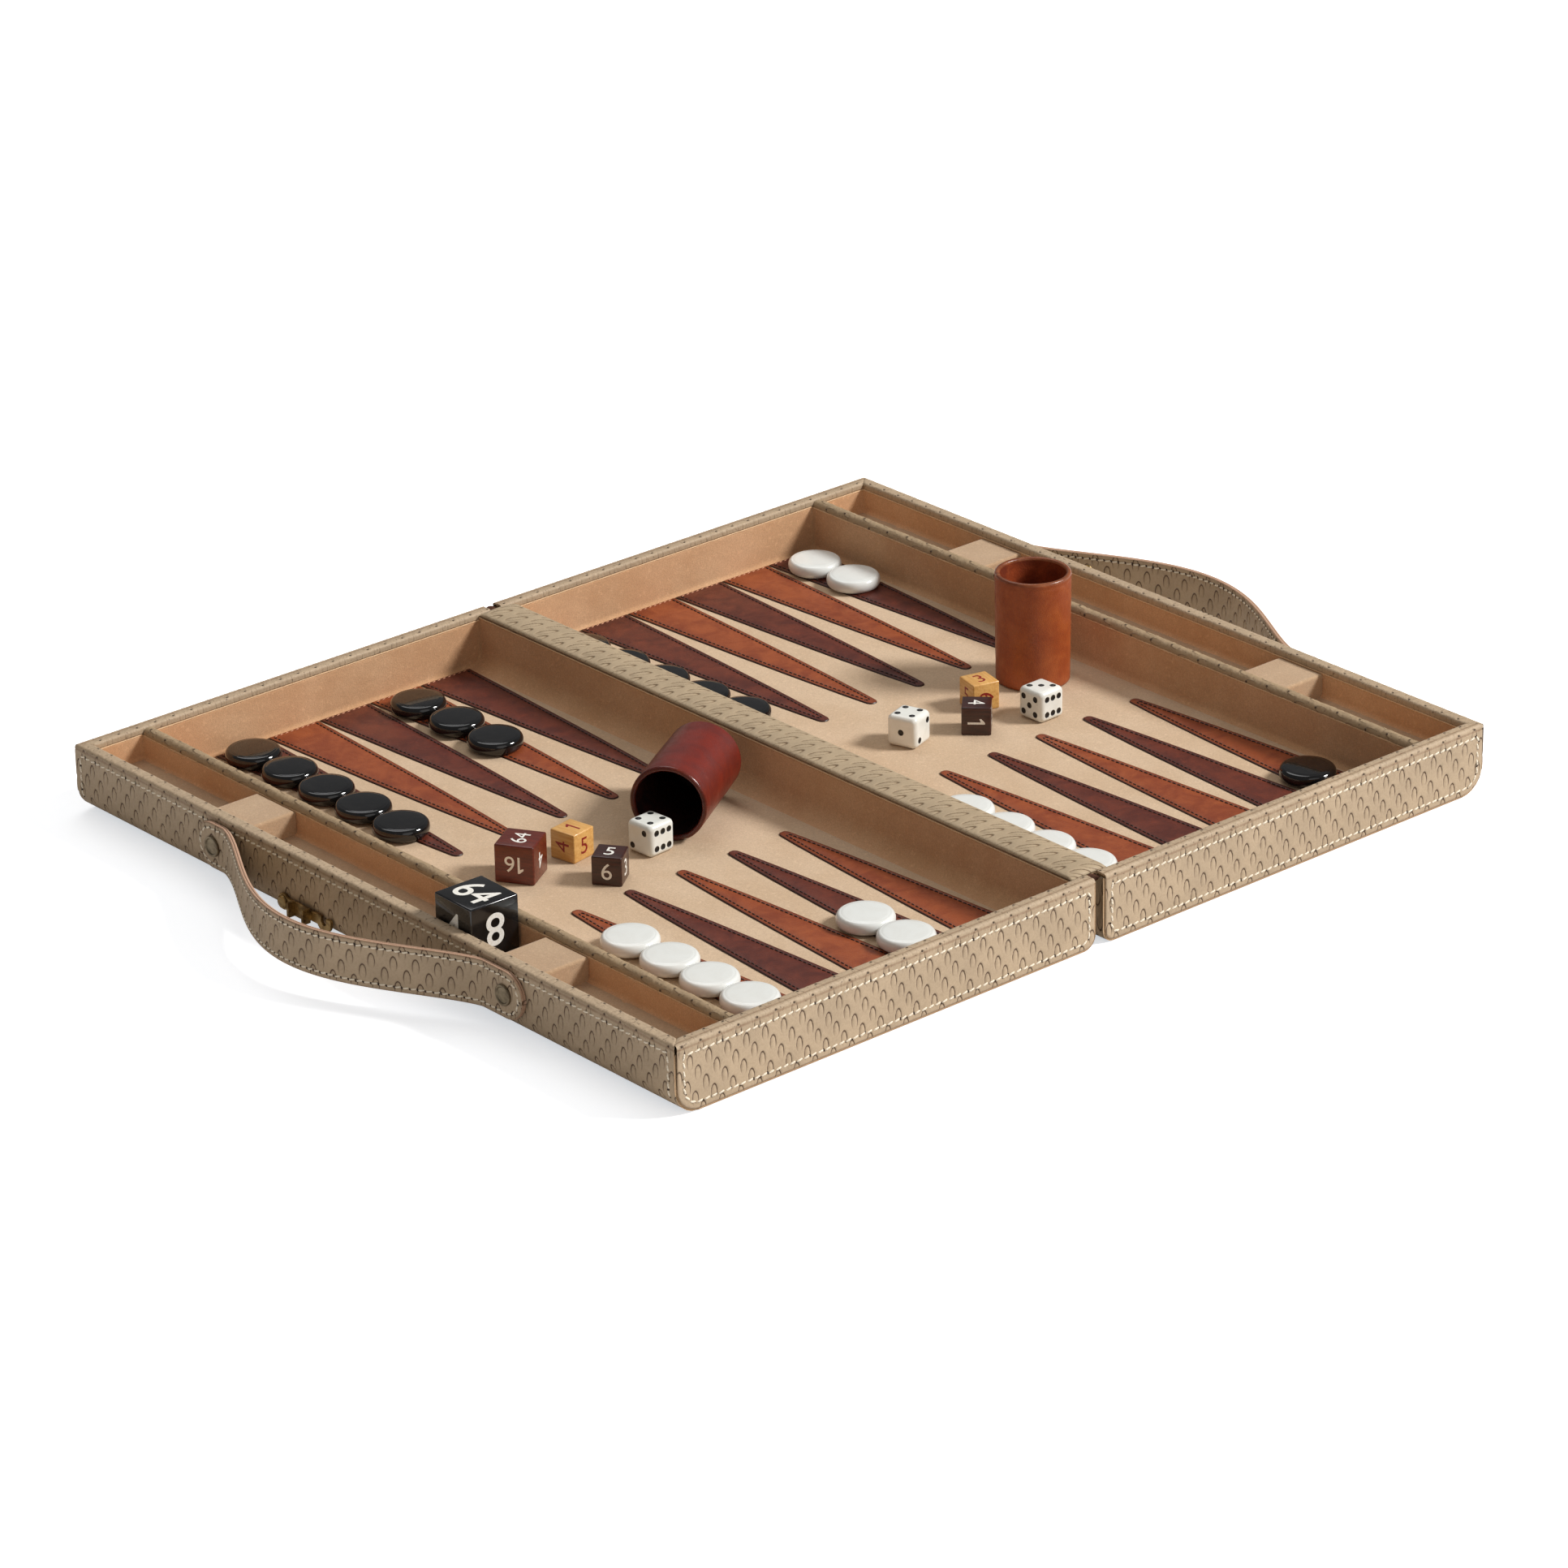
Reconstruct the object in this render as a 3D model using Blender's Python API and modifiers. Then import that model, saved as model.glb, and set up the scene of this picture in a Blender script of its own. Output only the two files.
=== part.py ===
# Folding backgammon set, standing open and flat on a table.
# +X runs across the two halves, +Y along the hinge, +Z up. The origin is on the table,
# under the middle of the hinge line. Sizes are in millimetres and are scaled once, by MM.
import math

import bmesh
import bpy
from mathutils import Matrix, Vector

MM = 0.001
GAP = 0.3                # clearance between neighbouring pieces
SHARP_FROM = math.radians(35)

# ---- case: each half is a wooden tray in a leather cover, lined with suede --------------
HALF_GAP = 2.35          # hinge plane to the spine face of a half
CASE_X = 261.0           # hinge plane to the outer side face
CASE_Y = 228.5           # middle to an end face
RIM_Z = 36.0             # height of an open half
SIDE_RADIUS = 14.0       # lower edge along the outer side
SPINE_RADIUS = 7.0       # lower edge along the spine
RIM_RADIUS = 1.4         # upper edge of the rim
LEATHER = 1.6            # cover thickness
SUEDE = 1.2              # lining thickness
SIDE_WALL = 3.6          # wooden walls
END_WALL = 3.9
SPINE_WALL = 5.65
BOTTOM_PANEL = 3.1
LIP_DEPTH = 1.8          # how far the cover turns down inside the wall
LIP_OVERLAP = 0.2        # how far joined pieces run into each other
FLOOR_Z = 8.0            # suede playing surface
TRAY_Z = 19.8            # suede floor of the side tray
DIVIDER_X = (217.5, 224.5)
DIVIDER_Z = 35.4
BLOCK_Z = 32.0           # spacer blocks in the side tray, and their places along Y
BLOCKS = ((96.2, 126.7), (-124.5, -94.0))

# ---- points: leather wedges on the playing surface --------------------------------------
POINTS_PER_END = 6
POINT_FIRST = 36.5       # hinge plane to the nearest point's centre line
POINT_PITCH = 32.6
POINT_HALF = 16.1        # half its width at the base
POINT_TIP_Y = 43.5
POINT_TIP_R = 2.2
POINT_RISE = 0.8
POINT_ROOT = 0.6         # how deep a point is let into the surface

# ---- leather hinge strip on top of the two spine walls ----------------------------------
STRIP_EDGE = 0.8         # thickness at the long edges
STRIP_CREST = 36.1
FOLD_Z = 36.15           # height of the axis that the halves fold about

# ---- strap handles ----------------------------------------------------------------------
RIVET_Y = 111.0
RIVET_Z = 21.0
RIVET_HEAD = 4.4
RIVET_SHANK = 2.0
RIVET_STEPS = 16
STRAP_HALF_WIDTH = 12.0
STRAP_THICK = 2.7
STRAP_END = 124.0
STRAP_TIP = 2.2          # half width left at the very end of the rounded tab
STRAP_BOW = 39.0         # how far the middle stands off the wall
STRAP_BOW_MID = 4.0
STRAP_BOW_SPAN = 99.0
STRAP_BOW_POWER = 1.3
STRAP_SECTIONS = 44
SWING_X = 262.6          # axis that a handle swings about, through its two rivets

# ---- swing hook on the left half and its stud on the right half -------------------------
LATCH_Y = 57.0
LATCH_Z = 10.0
LATCH_REACH = 31.3
LATCH_BAR = 2.6          # half the bar's width
LATCH_BOSS = 4.2         # round end at the pivot
LATCH_NOSE = 5.4         # round end around the stud
LATCH_BEAK = 2.2         # height of the beak that holds the stud
LATCH_THICK = 1.9
LATCH_LUGS = (9.0, 21.0)
LUG_LENGTH = 1.6
LUG_HEIGHT = 1.9
PIVOT_R = 1.5
PIVOT_HEAD = 3.4
PIVOT_DEPTH = 251.0
STUD_R = 1.7
STUD_HEAD = 3.2
STUD_Z = 2 * FOLD_Z - (LATCH_Z + LATCH_REACH)
HEAD_RISE = 1.4          # crown of every rivet, pivot and stud head
HEAD_FLAT = 0.75         # share of a head that is flat
HARDWARE_STEPS = 14

# ---- playing pieces ---------------------------------------------------------------------
REST_GAP = 0.05
CHECKER_R = 14.2
CHECKER_H = 7.0
CHECKER_EDGE = 2.0       # width of the pillowed edge
CHECKER_STEPS = 20
CUP_R = 19.6
CUP_H = 59.5
CUP_WALL = 2.6
CUP_BASE = 3.0
CUP_CORNER = 1.8         # inside, round the base
CUP_FOOT = 2.2           # outside, round the foot
CUP_STEPS = 28
CUP_STANDING = (182.5, 12.0)
CUP_LYING = (-82.4, -12.8, 32.0)      # middle of the mouth, heading of the axis in degrees
TIP_LIFT = 1.1                        # tipping axis of the standing cup, above its foot

# colour, X of the row, drift of X over the row, first Y, step, number of checkers
CHECKER_ROWS = (
    ("black", -172.5, 0.0, 201.0, -29.7, 5),
    ("black", -73.5, 0.0, 194.0, -31.0, 3),
    ("black", 33.5, 6.5, 192.0, -29.6, 5),
    ("black", 191.0, 3.0, -202.0, 28.8, 2),
    ("white", -173.5, 0.0, -206.5, 28.5, 5),
    ("white", -77.0, 0.0, -206.5, 28.5, 3),
    ("white", 40.0, 0.0, -206.5, 28.6, 5),
    ("white", 196.5, 1.0, 196.0, -29.5, 2),
)
# name, edge length, X, Y, floor, turn in degrees, rounding, material
CUBES = (
    ("die_white_left", 16.8, -95.2, -14.6, FLOOR_Z, 4.2, 2.6, "die_white"),
    ("die_white_middle", 16.8, 81.8, -4.7, FLOOR_Z, 19.1, 2.6, "die_white"),
    ("die_white_right", 16.8, 152.5, -26.0, FLOOR_Z, 1.6, 2.6, "die_white"),
    ("die_light_left", 15.0, -127.1, 6.3, FLOOR_Z, 10.5, 0.7, "wood_light"),
    ("die_dark_left", 15.0, -131.3, -27.4, FLOOR_Z, 36.3, 0.7, "wood_dark"),
    ("die_light_right", 15.0, 138.6, 4.8, FLOOR_Z, -14.0, 0.7, "wood_light"),
    ("die_dark_right", 15.0, 117.2, -16.4, FLOOR_Z, 45.2, 0.7, "wood_dark"),
    ("doubling_cube_brown", 20.0, -159.7, 5.3, FLOOR_Z, 31.9, 0.9, "wood_red"),
    ("doubling_cube_black", 27.7, -239.3, -61.5, TRAY_Z, -1.1, 0.8, "cube_black"),
)

# base colour, roughness, metallic
MATERIALS = {
    "wood_shell": ((0.47, 0.32, 0.19, 1), 0.7, 0.0),
    "leather_taupe": ((0.50, 0.39, 0.27, 1), 0.55, 0.0),
    "suede": ((0.62, 0.46, 0.31, 1), 0.95, 0.0),
    "bronze": ((0.16, 0.12, 0.09, 1), 0.4, 1.0),
    "brass": ((0.42, 0.31, 0.15, 1), 0.35, 1.0),
    "checker_black": ((0.01, 0.01, 0.012, 1), 0.12, 0.0),
    "checker_white": ((0.82, 0.78, 0.68, 1), 0.15, 0.0),
    "die_white": ((0.85, 0.84, 0.80, 1), 0.2, 0.0),
    "wood_light": ((0.70, 0.42, 0.17, 1), 0.4, 0.0),
    "wood_dark": ((0.09, 0.035, 0.025, 1), 0.35, 0.0),
    "wood_red": ((0.22, 0.05, 0.025, 1), 0.35, 0.0),
    "cube_black": ((0.012, 0.012, 0.014, 1), 0.12, 0.0),
    "leather_oxblood": ((0.20, 0.03, 0.02, 1), 0.3, 0.0),
    "leather_tan": ((0.40, 0.12, 0.04, 1), 0.4, 0.0),
}

# ---- faces of the layers in a wall, from the outside in ---------------------------------
WOOD_SKIN = LEATHER + GAP                              # outside of the wood, from outside
SIDE_LINING = CASE_X - WOOD_SKIN - SIDE_WALL - GAP     # back of the suede on the side wall
END_LINING = CASE_Y - WOOD_SKIN - END_WALL - GAP
SPINE_LINING = HALF_GAP + WOOD_SKIN + SPINE_WALL + GAP
SIDE_FACE = SIDE_LINING - SUEDE                        # front of the suede
END_FACE = END_LINING - SUEDE
SPINE_FACE = SPINE_LINING + SUEDE
END_FIT = END_FACE - GAP                               # half length of what lies between
WALL_TOP = RIM_Z - LEATHER - GAP                       # top of the wooden walls
LIP_LOW = RIM_Z - LEATHER - LIP_DEPTH
LINING_TOP = LIP_LOW - GAP
PANEL_TOP = WOOD_SKIN + BOTTOM_PANEL
PAD_LOW = PANEL_TOP + GAP                              # underside of what lies on the panel
TRAY_EDGE = DIVIDER_X[1] + GAP
ABOVE = RIM_Z + 20.0                                   # cutters run clear out of the top


def start_scene():
    """Empty the file and add one collection for the set and one for the cutters."""
    for old in list(bpy.data.objects):
        bpy.data.objects.remove(old, do_unlink=True)
    made = []
    for name in ("backgammon_set", "cutters"):
        collection = bpy.data.collections.new(name)
        bpy.context.scene.collection.children.link(collection)
        made.append(collection)
    return made


def make_materials():
    made = {}
    for name, (colour, roughness, metallic) in MATERIALS.items():
        material = bpy.data.materials.new(name)
        material.use_nodes = True
        shader = material.node_tree.nodes["Principled BSDF"]
        shader.inputs["Base Color"].default_value = colour
        shader.inputs["Roughness"].default_value = roughness
        shader.inputs["Metallic"].default_value = metallic
        made[name] = material
    return made


PIECES, CUTTERS = start_scene()
LOOKS = make_materials()


def axis_empty(name, place):
    """An empty on a joint's axis, for the pieces that the joint carries."""
    empty = bpy.data.objects.new(name, None)
    empty.location = Vector(place) * MM
    PIECES.objects.link(empty)
    return empty


RIGHT_HALF = axis_empty("axis_case_fold", (0, 0, FOLD_Z))


def finish(name, mesh, material, place, carrier=None):
    """Make the object for a mesh whose origin stands at a place in millimetres."""
    piece = bpy.data.objects.new(name, mesh)
    piece.location = Vector(place) * MM
    PIECES.objects.link(piece)
    if not mesh.materials:
        mesh.materials.append(LOOKS[material])
    if carrier:
        piece.parent = carrier
        piece.matrix_parent_inverse = Matrix.Translation(-carrier.location)
    return piece


def to_mesh(name, bm, place=(0, 0, 0)):
    """Turn a bmesh drawn in world millimetres into a mesh in metres about a place."""
    bmesh.ops.translate(bm, vec=-Vector(place), verts=bm.verts)
    bmesh.ops.scale(bm, vec=(MM, MM, MM), verts=bm.verts)
    bmesh.ops.recalc_face_normals(bm, faces=bm.faces)
    mesh = bpy.data.meshes.new(name)
    bm.to_mesh(mesh)
    bm.free()
    mesh.shade_smooth()
    mesh.set_sharp_from_angle(angle=SHARP_FROM)
    return mesh


def box(x, y, z):
    """A box between two limits on each axis, given in any order."""
    limits = [sorted(pair) for pair in (x, y, z)]
    bm = bmesh.new()
    bmesh.ops.create_cube(bm, size=1.0)
    for corner in bm.verts:
        corner.co = [pair[value > 0] for pair, value in zip(limits, corner.co)]
    return bm


def prism(outline, axis, low, high):
    """Extrude a closed outline along X, Y or Z. The outline holds the other two values."""
    bm = bmesh.new()
    at = "XYZ".index(axis)
    corners = [list(pair[:at]) + [low] + list(pair[at:]) for pair in outline]
    face = bm.faces.new([bm.verts.new(corner) for corner in corners])
    grown = bmesh.ops.extrude_face_region(bm, geom=[face])["geom"]
    moved = [v for v in grown if isinstance(v, bmesh.types.BMVert)]
    step = [0.0, 0.0, 0.0]
    step[at] = high - low
    bmesh.ops.translate(bm, vec=step, verts=moved)
    return bm


def side_hole(side, x_low, x_high, y, z, radius):
    """A round cutter that runs along X through a side wall."""
    bm = bmesh.new()
    turned = Matrix.Rotation(math.pi / 2, 4, "Y")
    middle = Matrix.Translation((side * (x_low + x_high) / 2, y, z))
    bmesh.ops.create_cone(bm, cap_ends=True, segments=HARDWARE_STEPS, radius1=radius,
                          radius2=radius, depth=x_high - x_low, matrix=middle @ turned)
    return bm


def arc(x, z, radius, start, end, steps):
    """Points on an arc between two angles in degrees."""
    turns = [math.radians(start + (end - start) * k / steps) for k in range(steps + 1)]
    return [(x + radius * math.cos(a), z + radius * math.sin(a)) for a in turns]


def helper(name, mesh):
    """A hidden object that only serves a Boolean modifier."""
    tool = bpy.data.objects.new(name, mesh)
    tool.display_type = "WIRE"
    tool.hide_render = True
    CUTTERS.objects.link(tool)
    return tool


def combine(piece, operation, name, tool):
    modifier = piece.modifiers.new(name, "BOOLEAN")
    modifier.operation = operation
    modifier.solver = "EXACT"
    modifier.object = tool


def cut(piece, name, bm):
    combine(piece, "DIFFERENCE", name, helper(name, to_mesh(name, bm)))


def join(piece, name, bm):
    combine(piece, "UNION", name, helper(name, to_mesh(name, bm)))


def turned_mesh(name, profile):
    """A profile of (radius, height) that runs down the outer side, for a Screw modifier."""
    bm = bmesh.new()
    points = [bm.verts.new((radius * MM, 0, height * MM)) for radius, height in profile]
    for upper, lower in zip(points, points[1:]):
        bm.edges.new((upper, lower))
    mesh = bpy.data.meshes.new(name)
    bm.to_mesh(mesh)
    bm.free()
    return mesh


def spin(piece, steps):
    modifier = piece.modifiers.new("Screw", "SCREW")
    modifier.axis = "Z"
    modifier.steps = steps
    modifier.render_steps = steps
    modifier.use_merge_vertices = True
    modifier.merge_threshold = 0.00001
    modifier.use_smooth_shade = True


def carrier_of(side):
    return RIGHT_HALF if side > 0 else None


def half_outline(side, inset, top, rim=0.0):
    """End view of a half: rounded lower edges, a flat top and, for the cover, a soft rim."""
    near, far = HALF_GAP + inset, CASE_X - inset
    spine, outer = SPINE_RADIUS - inset, SIDE_RADIUS - inset
    points = [(near, top)]
    points += arc(near + spine, inset + spine, spine, 180, 270, 4)
    points += arc(far - outer, inset + outer, outer, 270, 360, 6)
    points += arc(far - rim, top - rim, rim, 0, 90, 3) if rim else [(far, top)]
    return [(side * x, z) for x, z in points]


def half_holes(side):
    """Holes in a side wall: two for the rivets and one for the latch or its stud."""
    holes = [(y, RIVET_Z, RIVET_SHANK + GAP, SIDE_LINING) for y in (RIVET_Y, -RIVET_Y)]
    if side < 0:
        holes.append((LATCH_Y, LATCH_Z, PIVOT_R + GAP, PIVOT_DEPTH - 1.0))
    else:
        holes.append((LATCH_Y, STUD_Z, STUD_R + GAP, SIDE_LINING))
    return holes


def build_shell(side, word):
    """Wooden tray: a deep well for the playing field and a raised floor for the side tray."""
    half = CASE_Y - WOOD_SKIN
    end = END_LINING + GAP
    block = prism(half_outline(side, WOOD_SKIN, WALL_TOP), "Y", -half, half)
    shell = finish(f"shell_{word}", to_mesh("shell", block), "wood_shell", (0, 0, 0), carrier_of(side))
    well = (side * (SPINE_LINING - GAP), side * (TRAY_EDGE + GAP))
    cut(shell, f"well_{word}", box(well, (-end, end), (PANEL_TOP, ABOVE)))
    tray = (side * TRAY_EDGE, side * (SIDE_LINING + GAP))
    cut(shell, f"tray_{word}", box(tray, (-end, end), (TRAY_Z - SUEDE - GAP, ABOVE)))
    for i, (y, z, radius, inner) in enumerate(half_holes(side)):
        cut(shell, f"wood_hole_{word}_{i}", side_hole(side, inner, CASE_X + 2, y, z, radius))


def build_cover(side, word):
    """Leather wrapped round the outside and the rim, and turned down inside the walls."""
    block = prism(half_outline(side, 0.0, RIM_Z, RIM_RADIUS), "Y", -CASE_Y, CASE_Y)
    cover = finish(f"cover_{word}", to_mesh("cover", block), "leather_taupe", (0, 0, 0), carrier_of(side))
    half = CASE_Y - LEATHER
    room = prism(half_outline(side, LEATHER, RIM_Z - LEATHER), "Y", -half, half)
    cut(cover, f"room_{word}", room)
    mouth = box((side * GAP, side * SIDE_FACE), (-END_FACE, END_FACE), (WALL_TOP, ABOVE))
    cut(cover, f"mouth_{word}", mouth)
    lip = (LIP_LOW, RIM_Z - LEATHER + LIP_OVERLAP)
    side_lip = box((side * SIDE_FACE, side * SIDE_LINING), (-END_LINING, END_LINING), lip)
    join(cover, f"side_lip_{word}", side_lip)
    length = (side * (SPINE_FACE + GAP), side * (SIDE_FACE + LIP_OVERLAP))
    for way, tag in ((1, "back"), (-1, "front")):
        join(cover, f"{tag}_lip_{word}", box(length, (way * END_FACE, way * END_LINING), lip))
    for i, (y, z, radius, _) in enumerate(half_holes(side)):
        hole = side_hole(side, CASE_X - 2 * LEATHER, CASE_X + 2, y, z, radius)
        cut(cover, f"cover_hole_{word}_{i}", hole)


def tray_hollow():
    """Side view of the open space in a side tray: its floor steps up over the spacer blocks."""
    floor = [(-END_FACE, TRAY_Z)]
    for low, high in sorted(BLOCKS):
        floor += [(low, TRAY_Z), (low, BLOCK_Z), (high, BLOCK_Z), (high, TRAY_Z)]
    return [(-END_FACE, ABOVE)] + floor + [(END_FACE, TRAY_Z), (END_FACE, ABOVE)]


def build_lining(side, word):
    """Suede on the four walls and on the tray floor, with the two spacer blocks, in one piece.

    The wall along the spine stands as high as the wood, between the covers of the ends; the
    other three stop under the lip of the cover."""
    width = (side * SPINE_LINING, side * SIDE_LINING)
    block = box(width, (-END_LINING, END_LINING), (PAD_LOW, WALL_TOP))
    lining = finish(f"lining_{word}", to_mesh("lining", block), "suede", (0, 0, 0), carrier_of(side))
    spine, step, beyond = SPINE_LINING - 1, SPINE_FACE + 1, CASE_X
    around = [(spine, -CASE_Y), (beyond, -CASE_Y), (beyond, CASE_Y), (spine, CASE_Y)]
    around += [(spine, END_FIT), (step, END_FIT), (step, -END_FIT), (spine, -END_FIT)]
    lowered = prism([(side * x, y) for x, y in around], "Z", LINING_TOP, ABOVE)
    cut(lining, f"lowered_walls_{word}", lowered)
    well = box((side * SPINE_FACE, side * TRAY_EDGE), (-END_FACE, END_FACE), (0, ABOVE))
    cut(lining, f"lined_well_{word}", well)
    tray = prism(tray_hollow(), "X", side * (TRAY_EDGE - GAP), side * SIDE_FACE)
    cut(lining, f"lined_tray_{word}", tray)
    under = box((side * (TRAY_EDGE - GAP), side * CASE_X), (-CASE_Y, CASE_Y), (0, TRAY_Z - SUEDE))
    cut(lining, f"under_tray_{word}", under)


def point_outline(side, way, centre):
    """A wedge with a round tip, its base against the end wall."""
    base = END_FACE - 2 * GAP
    slope = math.degrees(math.atan2(POINT_HALF, base - POINT_TIP_Y))
    tip = arc(0, POINT_TIP_Y + POINT_TIP_R, POINT_TIP_R, -slope, slope - 180, 4)
    wedge = [(-POINT_HALF, base), (POINT_HALF, base)] + tip
    return [(side * (centre + x), way * y) for x, y in wedge]


def build_field(side, word):
    """Padded playing field with twelve raised points."""
    width = (side * (SPINE_FACE + GAP), side * (DIVIDER_X[0] - GAP))
    pad = box(width, (-END_FIT, END_FIT), (PAD_LOW, FLOOR_Z))
    field = finish(f"field_{word}", to_mesh("field", pad), "suede", (0, 0, 0), carrier_of(side))
    for way, tag in ((1, "back"), (-1, "front")):
        for k in range(POINTS_PER_END):
            outline = point_outline(side, way, POINT_FIRST + k * POINT_PITCH)
            wedge = prism(outline, "Z", FLOOR_Z - POINT_ROOT, FLOOR_Z + POINT_RISE)
            join(field, f"point_{word}_{tag}_{k}", wedge)


def build_divider(side, word):
    """Upright wall with a rolled top, between the playing field and the side tray."""
    near, far = DIVIDER_X
    radius = (far - near) / 2
    outline = [(near, PAD_LOW), (far, PAD_LOW)]
    outline += arc((near + far) / 2, DIVIDER_Z - radius, radius, 0, 180, 6)
    wall = prism([(side * x, z) for x, z in outline], "Y", -END_FIT, END_FIT)
    finish(f"divider_{word}", to_mesh("divider", wall), "leather_taupe", (0, 0, 0), carrier_of(side))


def strap_bow(y):
    """How far the strap stands off the wall at a place along Y."""
    share = (y - STRAP_BOW_MID) / STRAP_BOW_SPAN
    return STRAP_BOW * math.cos(math.pi / 2 * share) ** STRAP_BOW_POWER if abs(share) < 1 else 0.0


def strap_half_width(y):
    """Half the strap's width, which falls off along a circle in the rounded tabs."""
    left = STRAP_END - abs(y)
    if left >= STRAP_HALF_WIDTH:
        return STRAP_HALF_WIDTH
    inner = STRAP_HALF_WIDTH - left
    return max(STRAP_TIP, math.sqrt(max(0.0, STRAP_HALF_WIDTH ** 2 - inner ** 2)))


def build_strap(side, word):
    """Strap handle: a ribbon along its bowed path, thickened outwards, with rivet holes."""
    bm = bmesh.new()
    rows = []
    for k in range(STRAP_SECTIONS + 1):
        way = -math.cos(math.pi * k / STRAP_SECTIONS)
        y = STRAP_END * (0.55 * way + 0.45 * math.sin(math.pi / 2 * way))
        x = side * (CASE_X + GAP + strap_bow(y))
        width = strap_half_width(y)
        rows.append([bm.verts.new((x, y, RIVET_Z + z)) for z in (-width, width)])
    for (low, high), (next_low, next_high) in zip(rows, rows[1:]):
        corners = (low, next_low, next_high, high)
        bm.faces.new(corners if side > 0 else corners[::-1])
    place = (side * SWING_X, 0, RIVET_Z)
    bmesh.ops.translate(bm, vec=-Vector(place), verts=bm.verts)
    bmesh.ops.scale(bm, vec=(MM, MM, MM), verts=bm.verts)
    mesh = bpy.data.meshes.new("strap")
    bm.to_mesh(mesh)
    bm.free()
    strap = finish(f"strap_{word}", mesh, "leather_taupe", place, carrier_of(side))
    thick = strap.modifiers.new("Solidify", "SOLIDIFY")
    thick.thickness = STRAP_THICK * MM
    thick.offset = 1.0
    thick.use_even_offset = True
    for i, y in enumerate((RIVET_Y, -RIVET_Y)):
        hole = side_hole(side, CASE_X - 1, CASE_X + 6, y, RIVET_Z, RIVET_SHANK + GAP)
        cut(strap, f"strap_hole_{word}_{i}", hole)


def headed_profile(length, shank, head):
    """Profile of a headed pin, from the top of the head to the pin's foot."""
    top = length + HEAD_RISE
    crown = [(0, top), (head * HEAD_FLAT, top), (head, length + HEAD_RISE / 2), (head, length)]
    return crown + [(shank, length), (shank, 0), (0, 0)]


def pin(name, side, foot, length, y, z, shank, head, material, steps):
    """A headed pin that points outwards from a foot inside the side wall."""
    mesh = turned_mesh("pin", headed_profile(length, shank, head))
    piece = finish(name, mesh, material, (side * foot, y, z), carrier_of(side))
    piece.rotation_euler = (0, side * math.pi / 2, 0)
    spin(piece, steps)
    return piece


def build_rivets(side, word):
    foot = SIDE_LINING + 2 * GAP
    length = CASE_X + 2 * GAP + STRAP_THICK - foot
    for y, tag in ((RIVET_Y, "back"), (-RIVET_Y, "front")):
        pin(f"rivet_{word}_{tag}", side, foot, length, y, RIVET_Z, RIVET_SHANK, RIVET_HEAD,
            "bronze", RIVET_STEPS)


def hook_outline():
    """Side view of the hook: along the bar from the pivot, and up from the bar's middle."""
    notch = STUD_R + GAP
    neck = math.degrees(math.asin(LATCH_BAR / LATCH_BOSS))
    throat = math.degrees(math.asin(LATCH_BAR / LATCH_NOSE))
    beak = math.degrees(math.asin(LATCH_BEAK / LATCH_NOSE))
    points = arc(0, 0, LATCH_BOSS, neck, 360 - neck, 9)
    points += arc(LATCH_REACH, 0, LATCH_NOSE, throat - 180, beak, 8)
    points += [(LATCH_REACH + notch, LATCH_BEAK)]
    points += arc(LATCH_REACH, 0, notch, 0, -180, 6)
    points += [(LATCH_REACH - notch, LATCH_BAR)]
    return points


def build_latch():
    """Swing hook parked along the foot of the left wall; it turns on its own pivot pin."""
    inner = CASE_X + 2 * GAP
    outer = inner + LATCH_THICK
    outline = [(LATCH_Y - along, LATCH_Z + up) for along, up in hook_outline()]
    place = (-inner, LATCH_Y, LATCH_Z)
    bar = to_mesh("latch_hook", prism(outline, "X", -inner, -outer), place)
    hook = finish("latch_hook", bar, "brass", place)
    profile = headed_profile(outer - 0.5 - PIVOT_DEPTH, PIVOT_R, PIVOT_HEAD)
    pivot = helper("latch_pivot", turned_mesh("latch_pivot", profile))
    pivot.location = Vector((-PIVOT_DEPTH, LATCH_Y, LATCH_Z)) * MM
    pivot.rotation_euler = (0, -math.pi / 2, 0)
    spin(pivot, HARDWARE_STEPS)
    combine(hook, "UNION", "latch_pivot", pivot)
    tall = LATCH_BAR - LIP_OVERLAP
    for i, along in enumerate(LATCH_LUGS):
        lug = box((-(outer - LIP_OVERLAP), -(outer + LUG_HEIGHT)),
                  (LATCH_Y - along, LATCH_Y - along - LUG_LENGTH), (LATCH_Z - tall, LATCH_Z + tall))
        join(hook, f"latch_lug_{i}", lug)
    foot = SIDE_LINING + 2 * GAP
    pin("latch_stud", 1, foot, outer + 0.5 - foot, LATCH_Y, STUD_Z, STUD_R, STUD_HEAD, "brass",
        HARDWARE_STEPS)


def build_strip():
    """Leather strip that bridges the two spine walls and bends when the case folds."""
    low = WALL_TOP + GAP
    half = SPINE_FACE
    crown = [(half, low + STRIP_EDGE), (half * 0.7, STRIP_CREST - 0.35)]
    crown += [(half * 0.35, STRIP_CREST - 0.08), (0, STRIP_CREST)]
    mirrored = [(-x, z) for x, z in reversed(crown[:-1])]
    outline = [(-half, low), (half, low)] + crown + mirrored
    strip = to_mesh("hinge_strip", prism(outline, "Y", -END_FIT, END_FIT), (0, 0, FOLD_Z))
    finish("hinge_strip", strip, "leather_taupe", (0, 0, FOLD_Z))


def checker_mesh(colour):
    """Flat on both sides, with an edge that bulges in half an ellipse."""
    face = CHECKER_R - CHECKER_EDGE
    bulge = arc(0, 0, 1, 90, -90, 4)
    edge = [(face + CHECKER_EDGE * out, CHECKER_H * (1 + up) / 2) for out, up in bulge]
    return turned_mesh(f"checker_{colour}", [(0, CHECKER_H)] + edge + [(0, 0)])


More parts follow.
